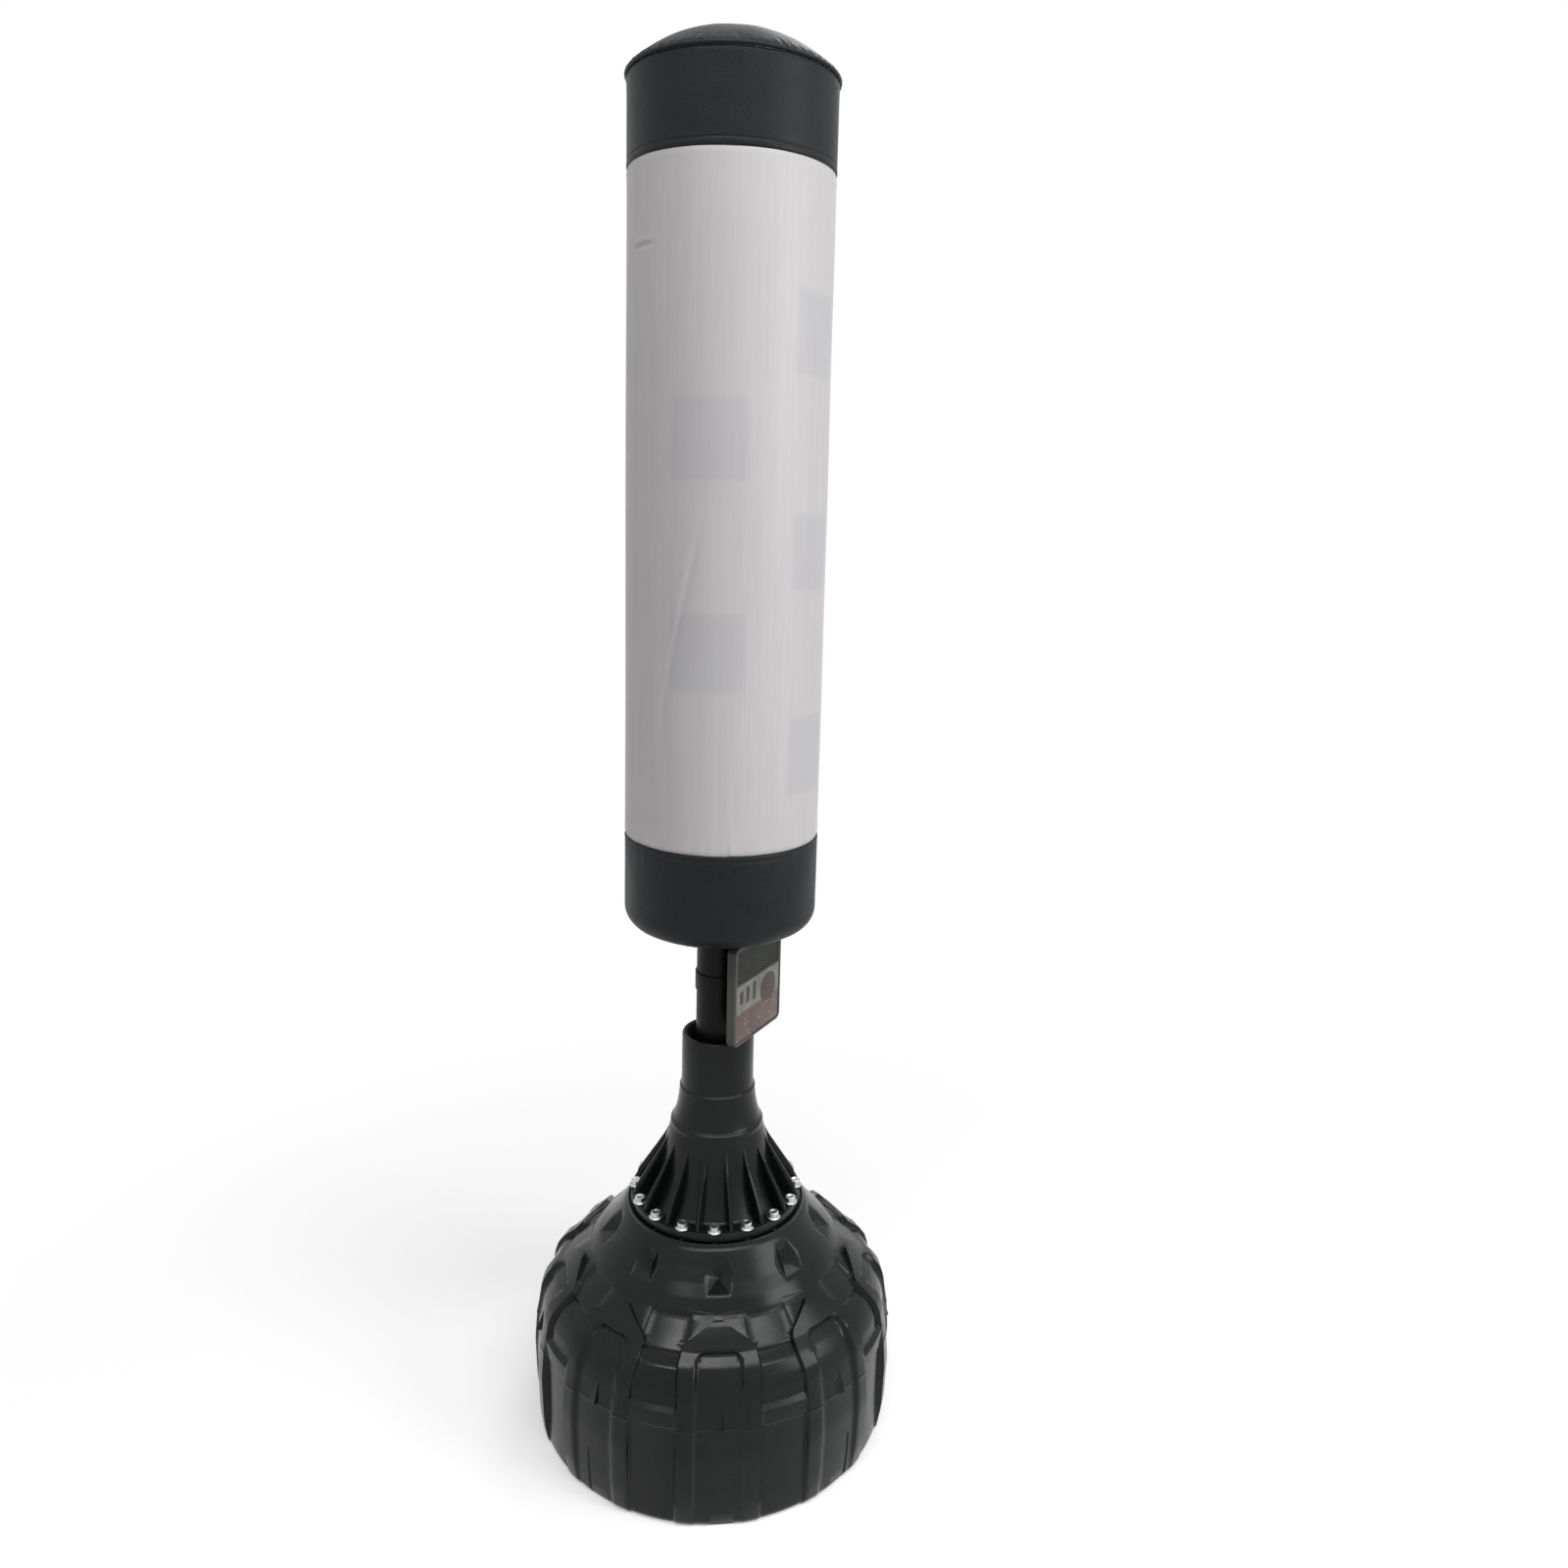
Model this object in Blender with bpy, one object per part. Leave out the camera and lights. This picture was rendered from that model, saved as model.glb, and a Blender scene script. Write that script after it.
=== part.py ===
"""Free-standing punching bag: a fillable base, a bolted neck on a coil spring, a post and a padded bag.

Metres, +Z up. The origin is on the floor, on the axis of the bag. The front of the bag looks along -Y,
and azimuths are counted from the front towards +X.
"""
import math

import bmesh
import bpy
from mathutils import Matrix, Vector

GAP = 0.0003
TURN = 2 * math.pi

# Base tank
TANK_RADIUS = 0.2476
TANK_SEAT_Z = 0.303
TANK_SHOULDER = 0.2085
TANK_PART_LINE = 0.139
TANK_LEDGE = 0.1635
TANK_LIP_HEIGHT = 0.003
TANK_LIP_WIDTH = 0.0042
TANK_LIP_CLEARANCE = 0.002
TANK_FLANGE_THICK = 0.0185
TANK_FLOOR = 0.004
TANK_WALL = 0.006
UNDERSIDE_RISE = 0.006
UNDERSIDE_RING = 0.024
LUG_COUNT = 9
LUG_FIRST = 5.0
LUG_HALF = 12.3
PANEL_HALF = 7.9
HOOD_HALF = 5.6
PLATE_HALF = 10.3
WALL_SLANT = 1.3
HOOD_RISE = 0.0026
POCKET_DEPTH = 0.009
POCKET_WALL = 0.004
CONE_CURVE = ((0.0, 0.0), (0.234, 0.242), (0.547, 0.515), (0.816, 0.788))
POCKET_STEP = 2

# Filler opening, at the back between two lugs
FILLER_GAP_NUMBER = 4
FILLER_SHARE = 0.81
FILLER_BORE = 0.0165
FILLER_WALL = 0.0043
FILLER_BOSS_MARGIN = 0.0045
FILLER_BOSS_HEIGHT = 0.005
FILLER_BOSS_DEPTH = 0.006
FILLER_FLANGE_MARGIN = 0.0057
FILLER_FLANGE_THICK = 0.0025
FILLER_COLLAR_HEIGHT = 0.010
FILLER_TAIL = 0.010
THREAD_RISE = 0.0007
CAP_WALL = 0.005
CAP_TOP_THICK = 0.004
CAP_CLEARANCE = 0.0005
CAP_GASKET_THICK = 0.0015
CAP_GRIPS = 12
CAP_GRIP_DEPTH = 0.0012

# Flange stack
FLANGE_RADIUS = 0.116
GASKET_THICK = 0.002
GASKET_WIDTH = 0.0155
GASKET_MARGIN = 0.0014
BASE_PLATE_THICK = 0.004
NECK_FLANGE_THICK = 0.008
BOLT_COUNT = 16
BOLT_FIRST = 2.5
BOLT_EDGE = 0.0066
BOLT_SHANK = 0.004
BOLT_HOLE_CLEARANCE = 0.0005
BOLT_FLANGE = 0.0095
BOLT_FLANGE_THICK = 0.002
BOLT_HEX_FLATS = 0.013
BOLT_HEX_HEIGHT = 0.0062
BOLT_IN_TANK = 0.0125
BOLT_HOLE_SPARE = 0.0015
BOLT_HOLE_SIDES = 6

# Neck
NECK_HEIGHT = 0.2351
NECK_WALL = 0.004
NECK_BELL_WALL = 0.005
NECK_STEP_DOWN = 0.073
NECK_STEP = 0.0018
NECK_RING_DOWN = 0.1245
NECK_FLARE = 0.0141
NECK_FOOT_CLEARANCE = 0.0034
NECK_RIB_EDGE = 0.003
NECK_RIB_THICK = 0.006
NECK_RIB_ROOT = 0.0025
BELL_CURVE = ((0.0, 0.0), (0.114, 0.178), (0.3, 0.4), (0.529, 0.6215), (0.786, 0.8435), (1.0, 1.0))
RIB_CURVE = ((0.0, 0.0), (0.145, 0.138), (0.339, 0.359), (0.547, 0.58), (0.761, 0.8), (1.0, 1.0))
MOUTH_CLEARANCE = 0.0115
LINER_THICK = 0.0026
LINER_HEIGHT = 0.030

# Spring, rubber buffer and their seats
PIVOT_HEIGHT = 0.0904
SPRING_MEAN = 0.036
SPRING_WIRE = 0.0045
SPRING_TURNS = 5
SPRING_HALF_HEIGHT = 0.042
SPRING_STEPS = 12
PEDESTAL_MARGIN = 0.0025
PEDESTAL_WAIST = 0.008
PEDESTAL_FLANGE = 0.060
PEDESTAL_FLANGE_THICK = 0.004
SPIGOT_RADIUS = 0.014
SPIGOT_FROM_PIVOT = 0.012
BUFFER_RADIUS = 0.026
BUFFER_HALF_HEIGHT = 0.025
BUFFER_TIP_GAP = 0.0015
BUFFER_CLEARANCE = 0.0016
SEAT_MARGIN = 0.0005
SEAT_THICK = 0.007

# Post
POST_RADIUS = 0.030
POST_WALL = 0.0025
POST_IN_BAG = 0.550
POST_SHOWING = 0.155
PLUG_HEIGHT = 0.012
PLUG_RIM = 0.003

# Bag
BAG_RADIUS = 0.1256
BAG_BOTTOM_ROUND = 0.0275
COVER_THICK = 0.002
COVER_HOLE_CLEARANCE = 0.0006
BOTTOM_BAND_HEIGHT = 0.125
SLEEVE_HEIGHT = 0.808
TOP_BAND_HEIGHT = 0.102
SLEEVE_RECESS = 0.0004
PIPING_RADIUS = 0.0026
PIPING_PROUD = 0.0042
CAP_HEIGHT = 0.0465
CAP_FULLNESS = 2.4
CAP_OVERHANG = 0.0032
WRAP_THICK = 0.0043
WRAP_TOP_GAP = 0.005
FOAM_TOP_GAP = 0.013
CORE_CLEARANCE = 0.0015
CORE_WALL = 0.006
CORE_TOP_GAP = 0.035
SUPPORT_MARGIN = 0.0031
SUPPORT_THICK = 0.005
FOAM_GAP = 0.0004

# Zip at the back of the cover
ZIP_BOTTOM_GAP = 0.045
ZIP_TOP_GAP = 0.035
ZIP_WIDTH = 0.0242
ZIP_THICK = 0.0012
SLIDER_WIDTH = 0.010
SLIDER_HEIGHT = 0.014
SLIDER_DEPTH = 0.0032
SLIDER_ABOVE_END = 0.004
BAIL_WIDTH = 0.0020
BAIL_WIRE = 0.0009
BAIL_INSIDE = 0.0014
PULL_LENGTH = 0.026
PULL_WIDTH = 0.007
PULL_BAR = 0.0012
PULL_EYE_WIDTH = 0.0034
PULL_EYE_LENGTH = 0.0045
PULL_WINDOW_LENGTH = 0.0125

# Panel on the post
PANEL_TURN = 61.8
PANEL_WIDTH = 0.122
PANEL_HEIGHT = 0.1345
PANEL_BELOW_BAG = 0.010
PANEL_THICK = 0.0125
PANEL_CORNER = 0.010
PANEL_RIM = 0.005
PANEL_POCKET = 0.0022
PLATE_THICK = 0.0015
PLATE_CHAMFER = 0.0035
GRILLE_HEIGHT = 0.047
GRILLE_HOLE = 0.0032
GRILLE_PITCH = 0.0125
GRILLE_MARGIN = 0.005
CLAMP_ABOVE_PANEL_FOOT = 0.0525
CLAMP_HEIGHT = 0.024
CLAMP_THICK = 0.0016
CLAMP_ARM_WIDTH = 0.030
CLAMP_ARM_REACH = 0.0164
CLAMP_EAR_TURN = -61.8
CLAMP_EAR_REACH = 0.014
CLAMP_EAR_THICK = 0.005
CLAMP_EAR_INSET = 0.001
CLAMP_SLOT = 0.003
CLAMP_SCREW = 0.0025
CLAMP_SCREW_HEAD = 0.0045
CLAMP_SCREW_HEAD_THICK = 0.004
CLAMP_SCREW_END = 0.006

# Smoothness of round pieces
ROUND_STEPS = 36
HIDDEN_STEPS = 20
SMALL_STEPS = 16
NECK_STEPS = 32
INNER_COLUMNS = 30

# What follows from the sizes above: the flange's circles, then the heights from the floor up
TANK_LIP_RADIUS = FLANGE_RADIUS + TANK_LIP_CLEARANCE + TANK_LIP_WIDTH
BOLT_CIRCLE = FLANGE_RADIUS - BOLT_EDGE
BOLT_HOLE = BOLT_SHANK + BOLT_HOLE_CLEARANCE
GASKET_RADIUS = BOLT_CIRCLE - BOLT_HOLE - GASKET_MARGIN
TANK_MOUTH = GASKET_RADIUS - GASKET_WIDTH
NECK_TOP_RADIUS = POST_RADIUS + MOUTH_CLEARANCE + LINER_THICK + GAP + NECK_WALL
NECK_RING_RADIUS = NECK_TOP_RADIUS + NECK_FLARE
NECK_BELL_FOOT = BOLT_CIRCLE - BOLT_FLANGE - NECK_FOOT_CLEARANCE
FILLER_TUBE = FILLER_BORE + FILLER_WALL
FILLER_FLANGE = FILLER_TUBE + FILLER_FLANGE_MARGIN
FILLER_BOSS = FILLER_FLANGE + FILLER_BOSS_MARGIN
FILLER_THREAD = FILLER_TUBE + THREAD_RISE
GASKET_Z = TANK_SEAT_Z + GAP
BASE_PLATE_Z = GASKET_Z + GASKET_THICK + GAP
NECK_FOOT_Z = BASE_PLATE_Z + BASE_PLATE_THICK + GAP
FLANGE_TOP_Z = NECK_FOOT_Z + NECK_FLANGE_THICK
BOLT_SEAT_Z = FLANGE_TOP_Z + GAP
BOLT_REACH = BOLT_SEAT_Z - TANK_SEAT_Z + BOLT_IN_TANK
NECK_TOP_Z = NECK_FOOT_Z + NECK_HEIGHT
PIVOT_Z = BASE_PLATE_Z + BASE_PLATE_THICK + PIVOT_HEIGHT
BAG_BOTTOM_Z = NECK_TOP_Z + POST_SHOWING
SLEEVE_BOTTOM_Z = BAG_BOTTOM_Z + BOTTOM_BAND_HEIGHT
SLEEVE_TOP_Z = SLEEVE_BOTTOM_Z + SLEEVE_HEIGHT
BAND_TOP_Z = SLEEVE_TOP_Z + TOP_BAND_HEIGHT
POST_TOP_Z = BAG_BOTTOM_Z + POST_IN_BAG
COVER_INNER = BAG_RADIUS - COVER_THICK
ZIP_OUTSIDE = BAG_RADIUS + GAP + ZIP_THICK
SLIDER_FRONT = ZIP_OUTSIDE + GAP + SLIDER_DEPTH
SLIDER_LOW_Z = BAG_BOTTOM_Z + ZIP_BOTTOM_GAP + SLIDER_ABOVE_END
PULL_AXIS_OUT = SLIDER_FRONT + BAIL_INSIDE
PULL_AXIS_Z = SLIDER_LOW_Z + SLIDER_HEIGHT / 2
PANEL_TOP_Z = BAG_BOTTOM_Z - PANEL_BELOW_BAG
PANEL_BOTTOM_Z = PANEL_TOP_Z - PANEL_HEIGHT
PANEL_BACK = POST_RADIUS + GAP + CLAMP_THICK + CLAMP_ARM_REACH + GAP
PANEL_OUT = PANEL_BACK + PANEL_THICK
CLAMP_Z = PANEL_BOTTOM_Z + CLAMP_ABOVE_PANEL_FOOT


def clear_scene():
    for obj in list(bpy.data.objects):
        bpy.data.objects.remove(obj, do_unlink=True)


def colour(hex_code):
    """Linear colour of an sRGB hex code."""
    parts = [int(hex_code[i:i + 2], 16) / 255 for i in (0, 2, 4)]
    linear = [c / 12.92 if c <= 0.04045 else ((c + 0.055) / 1.055) ** 2.4 for c in parts]
    return (*linear, 1.0)


def make_material(name, hex_code, roughness, metallic=0.0):
    material = bpy.data.materials.new(name)
    material.use_nodes = True
    shader = material.node_tree.nodes["Principled BSDF"]
    shader.inputs["Base Color"].default_value = colour(hex_code)
    shader.inputs["Roughness"].default_value = roughness
    shader.inputs["Metallic"].default_value = metallic
    return material


def around(radius, azimuth, z=0.0):
    """A point at this radius and azimuth in degrees, counted from the front towards +X."""
    angle = math.radians(azimuth)
    return Vector((radius * math.sin(angle), -radius * math.cos(angle), z))


def add_object(name, mesh, material, parent=None):
    obj = bpy.data.objects.new(name, mesh)
    bpy.context.collection.objects.link(obj)
    if material and not mesh.materials:
        mesh.materials.append(material)
    if parent:
        obj.parent = parent
        obj.matrix_parent_inverse = parent.matrix_world.inverted()
    return obj


def add_empty(name, place, parent=None):
    empty = bpy.data.objects.new(name, None)
    bpy.context.collection.objects.link(empty)
    if parent:
        empty.parent = parent
        empty.location = Vector(place) - parent.matrix_world.translation
    else:
        empty.location = place
    bpy.context.view_layer.update()
    return empty


def finish_mesh(name, bm, smooth_angle=35.0, matrix=None):
    """Closes the books on a bmesh: one tidy mesh with its faces pointing out."""
    bmesh.ops.remove_doubles(bm, verts=bm.verts, dist=1e-6)
    bmesh.ops.dissolve_degenerate(bm, edges=bm.edges, dist=1e-6)
    if matrix:
        bm.transform(matrix)
    bmesh.ops.recalc_face_normals(bm, faces=bm.faces)
    mesh = bpy.data.meshes.new(name)
    bm.to_mesh(mesh)
    bm.free()
    mesh.shade_smooth()
    mesh.set_sharp_from_angle(angle=math.radians(smooth_angle))
    return mesh


def turned_mesh(name, profile, steps=ROUND_STEPS, matrix=None):
    """A solid turned about Z from a profile of (radius, z). A profile off the axis is a closed loop."""
    bm = bmesh.new()
    points = [bm.verts.new((radius, 0.0, z)) for radius, z in profile]
    edges = [bm.edges.new(pair) for pair in zip(points, points[1:])]
    if profile[0][0] > 0 and profile[-1][0] > 0:
        edges.append(bm.edges.new((points[-1], points[0])))
    bmesh.ops.spin(bm, geom=points + edges, cent=(0, 0, 0), axis=(0, 0, 1), angle=TURN, steps=steps,
                   use_merge=True)
    return finish_mesh(name, bm, matrix=matrix)


def turned(name, profile, material, parent=None, steps=ROUND_STEPS, matrix=None):
    return add_object(name, turned_mesh(name, profile, steps, matrix), material, parent)


def tube_profile(inner, outer, low, high):
    return [(inner, low), (outer, low), (outer, high), (inner, high)]


def disc_profile(radius, low, high):
    return [(0.0, low), (radius, low), (radius, high), (0.0, high)]


def arc(centre, radius, start, end, steps):
    """Points of an arc in the (radius, z) plane, angles in degrees from +radius towards +z."""
    turns = [math.radians(start + (end - start) * i / steps) for i in range(steps + 1)]
    return [(centre[0] + radius * math.cos(a), centre[1] + radius * math.sin(a)) for a in turns]


def loft_rings(bm, rings, close_rings=False):
    """Faces between rings of equally many points, with the first and last ring filled or joined."""
    rows = [[bm.verts.new(point) for point in ring] for ring in rings]
    count = len(rings[0])
    pairs = list(zip(rows, rows[1:]))
    if close_rings:
        pairs.append((rows[-1], rows[0]))
    for low, high in pairs:
        for i in range(count):
            j = (i + 1) % count
            bm.faces.new((low[i], low[j], high[j], high[i]))
    if not close_rings:
        bm.faces.new(rows[0][::-1])
        bm.faces.new(rows[-1])
    return rows


def prism_mesh(name, outline, low, high, matrix=None):
    """A closed outline of (x, y) points raised from low to high."""
    bm = bmesh.new()
    loft_rings(bm, [[(x, y, low) for x, y in outline], [(x, y, high) for x, y in outline]])
    return finish_mesh(name, bm, matrix=matrix)


def box_outline(width, height, middle=(0.0, 0.0)):
    x, y = width / 2, height / 2
    return [(middle[0] + a, middle[1] + b) for a, b in ((-x, -y), (x, -y), (x, y), (-x, y))]


def round_outline(width, height, corner, steps=5):
    """A rectangle with round corners, counterclockwise."""
    points = []
    for k, (sx, sy) in enumerate(((1, 1), (-1, 1), (-1, -1), (1, -1))):
        centre = (sx * (width / 2 - corner), sy * (height / 2 - corner))
        points += arc(centre, corner, 90 * k, 90 * k + 90, steps)
    return points


def circle_outline(radius, steps, middle=(0.0, 0.0)):
    angles = [TURN * i / steps for i in range(steps)]
    return [(middle[0] + radius * math.cos(a), middle[1] + radius * math.sin(a)) for a in angles]


def cut_with(target, cutter_mesh, operation="DIFFERENCE"):
    """A live Boolean on the target, with its helper kept out of the render."""
    helper = add_object(f"helper_{cutter_mesh.name}", cutter_mesh, None)
    helper.hide_render = True
    helper.display_type = "WIRE"
    boolean = target.modifiers.new(cutter_mesh.name, "BOOLEAN")
    boolean.operation = operation
    boolean.solver = "EXACT"
    boolean.object = helper
    return boolean


def repeated_mesh(name, mesh, turns):
    """Copies of one mesh, turned about Z by each of these angles in degrees."""
    bm = bmesh.new()
    for turn in turns:
        copy = mesh.copy()
        copy.transform(Matrix.Rotation(math.radians(turn), 4, "Z"))
        bm.from_mesh(copy)
        bpy.data.meshes.remove(copy)
    return finish_mesh(name, bm)


def bolt_turns():
    return [BOLT_FIRST + 360 / BOLT_COUNT * k for k in range(BOLT_COUNT)]


def along(start, end, curve):
    """Points from start to end in the (radius, z) plane, at these shares of the two distances."""
    return [(start[0] + (end[0] - start[0]) * r, start[1] + (end[1] - start[1]) * z) for r, z in curve]


def inward(points, thick):
    """The meridian moved towards the inside by a wall's thickness, without its first and last point."""
    moved = []
    for before, here, after in zip(points, points[1:], points[2:]):
        run = Vector((after[0] - before[0], after[1] - before[1])).normalized()
        moved.append((here[0] - thick * run.y, here[1] + thick * run.x))
    return moved


def tank_gap():
    """The meridian between two lugs, from the floor to the foot of the cone."""
    rim = TANK_RADIUS
    top = TANK_SHOULDER
    rise = top - TANK_LEDGE
    return [(rim - 0.0156, 0.0), (rim - 0.0094, 0.006), (rim - 0.0078, TANK_PART_LINE * 0.72),
            (rim - 0.0064, TANK_PART_LINE), (rim - 0.0070, TANK_LEDGE - 0.0065), (rim - 0.0116, TANK_LEDGE),
            (rim - 0.0146, TANK_LEDGE + rise * 0.37), (rim - 0.0196, TANK_LEDGE + rise * 0.63),
            (rim - 0.0306, TANK_LEDGE + rise * 0.82), (rim - 0.0427, top + 0.0046),
            (rim - 0.0445, top + 0.0061), (rim - 0.0480, top + 0.0091), (rim - 0.0552, top + 0.0151),
            (rim - 0.0623, top + 0.0212), (rim - 0.0685, top + 0.0264), (rim - 0.0724, top + 0.0297)]


def cone_line():
    """The meridian of the cone above the lugs."""
    foot = (TANK_RADIUS - 0.0772, TANK_SHOULDER + 0.036)
    return along(foot, (TANK_LIP_RADIUS + 0.0063, TANK_SEAT_Z - 0.009), CONE_CURVE + ((1.0, 1.0),))


def tank_rows():
    """The meridians of the tank, bottom to top: gap, rib, panel and plate points of each row, and the half
    widths of the lug and its panel in degrees. The rows of the meridians correspond. Then the plain lip."""
    rim = TANK_RADIUS
    top = TANK_SHOULDER
    rise = top - TANK_LEDGE
    gap = tank_gap()
    cone = cone_line()
    plate_foot = (rim - 0.0486, top + 0.014)

    def on_plate(share):
        return tuple(a + (b - a) * share for a, b in zip(plate_foot, cone[0]))

    def raised(point, share=1.0):
        return (point[0] + 0.61 * HOOD_RISE * share, point[1] + 0.79 * HOOD_RISE * share)

    panel_top = TANK_LEDGE + rise * 0.585
    band_z = TANK_LEDGE + rise * 0.32
    lower = [
        ((rim - 0.0076, 0.0), (rim - 0.0121, 0.0), LUG_HALF, PANEL_HALF),
        ((rim - 0.0026, 0.006), (rim - 0.0072, 0.006), LUG_HALF, PANEL_HALF),
        ((rim, gap[2][1]), (rim - 0.0044, gap[2][1]), LUG_HALF, PANEL_HALF),
        ((rim - 0.0030, gap[3][1]), (rim - 0.0074, gap[3][1]), LUG_HALF, PANEL_HALF),
        ((rim - 0.0060, gap[4][1]), (rim - 0.0104, gap[4][1]), LUG_HALF, PANEL_HALF),
        ((rim - 0.0068, gap[5][1]), (rim - 0.0116, gap[5][1]), LUG_HALF, PANEL_HALF),
        ((rim - 0.0088, band_z), (rim - 0.0142, band_z), LUG_HALF, PANEL_HALF),
        ((rim - 0.0141, TANK_LEDGE + rise * 0.63), (rim - 0.0201, panel_top), LUG_HALF + 0.3, PANEL_HALF),
        ((rim - 0.0246, top - 0.0030), (rim - 0.0296, top - 0.0090), LUG_HALF + 0.8, PANEL_HALF - 0.3),
        ((rim - 0.0396, top + 0.0085), (rim - 0.0435, top + 0.0045), LUG_HALF + 0.6, HOOD_HALF),
        ((rim - 0.0420, top + 0.0110), (rim - 0.0420, top + 0.0110), LUG_HALF + 0.5, HOOD_HALF),
    ]
    meridians = [(low, rib, panel, low, half, inner) for low, (rib, panel, half, inner) in zip(gap, lower)]
    arch = [(0.0, 1.0, LUG_HALF), (0.28, 1.0, LUG_HALF * 0.8), (0.55, 0.85, LUG_HALF * 0.55),
            (0.75, 0.65, LUG_HALF * 0.28)]
    for low, (share, hood, half) in zip(gap[len(lower):], arch):
        rib = raised(on_plate(share), hood)
        meridians.append((low, rib, rib, on_plate(share), half, HOOD_HALF))
    crest_half = LUG_HALF * 0.21
    crest = on_plate(0.86)
    meridians.append((gap[-1], crest, crest, crest, crest_half, HOOD_HALF))
    meridians += [(point, point, point, point, crest_half, HOOD_HALF) for point in cone[:-1]]
    lip = TANK_LIP_RADIUS
    lip_top = TANK_SEAT_Z + TANK_LIP_HEIGHT
    rounded = [cone[-1], (lip + 0.0006, TANK_SEAT_Z - 0.0020), (lip, lip_top - 0.0012),
               (lip - 0.0012, lip_top), (lip - TANK_LIP_WIDTH + 0.0008, lip_top),
               (lip - TANK_LIP_WIDTH, TANK_SEAT_Z)]
    return meridians, rounded


def tank_columns(half, inner):
    """Azimuths of one lug's columns from its centre, and the meridian that each column follows."""
    inner = min(inner, half - 0.5)
    foot = half + WALL_SLANT
    edge = max(PLATE_HALF, foot + 0.8)
    skirt = edge + WALL_SLANT
    right = [(inner * 0.85, "panel"), (inner, "rib"), (half, "rib"), (foot, "plate"), (edge, "plate"),
             (skirt, "gap")]
    left = [(-angle, kind) for angle, kind in reversed(right)]
    return [(-180 / LUG_COUNT, "gap")] + left + [(0.0, "panel")] + right


def tank_ring(gap, rib, panel, plate, half, inner, pocket_depth):
    """One ring of points round the tank."""
    kinds = {"gap": gap, "rib": rib, "panel": panel, "plate": plate}
    points = []
    for lug in range(LUG_COUNT):
        centre = LUG_FIRST + 360 / LUG_COUNT * lug
        for angle, kind in tank_columns(half, inner):
            radius, z = kinds[kind]
            depth = pocket_depth * max(0.0, 1 - abs(angle) / PANEL_HALF)
            points.append(around(radius - 0.73 * depth, centre + angle, z - 0.69 * depth))
    return points


def inner_ring(radius, z):
    start = LUG_FIRST - 180 / LUG_COUNT
    return [around(radius, start + 360 * i / INNER_COLUMNS, z) for i in range(INNER_COLUMNS)]


def stitch(bm, first, second):
    """Triangles between two rings of unlike counts that start at the same azimuth."""
    i, j = 0, 0
    while i < len(first) or j < len(second):
        a, b = first[i % len(first)], second[j % len(second)]
        if j == len(second) or (i < len(first) and (i + 1) / len(first) <= (j + 1) / len(second)):
            bm.faces.new((a, first[(i + 1) % len(first)], b))
            i += 1
        else:
            bm.faces.new((a, second[(j + 1) % len(second)], b))
            j += 1


def join_rows(bm, low, high):
    for i in range(len(low)):
        j = (i + 1) % len(low)
        bm.faces.new((low[i], low[j], high[j], high[i]))


def cap_row(bm, row, z):
    middle = bm.verts.new((0.0, 0.0, z))
    for i in range(len(row)):
        bm.faces.new((row[i], row[(i + 1) % len(row)], middle))


def filler_matrix():
    """Places a piece turned about Z on the filler opening, with +Z leaving the cone squarely."""
    low, high = cone_line()[1:3]
    place = [a + (b - a) * FILLER_SHARE for a, b in zip(low, high)]
    azimuth = LUG_FIRST + 360 / LUG_COUNT * (FILLER_GAP_NUMBER + 0.5)
    slope = math.atan2(high[1] - low[1], low[0] - high[0])
    out = around(math.sin(slope), azimuth, math.cos(slope))
    turn = out.to_track_quat("Z", "Y").to_matrix().to_4x4()
    return Matrix.Translation(around(place[0], azimuth, place[1])) @ turn


def bolt_bores(name, low, high):
    """The flange's bolt holes from one height to another."""
    bore = prism_mesh("bore", circle_outline(BOLT_HOLE, BOLT_HOLE_SIDES, (0.0, -BOLT_CIRCLE)), low, high)
    return repeated_mesh(name, bore, bolt_turns())


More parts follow.
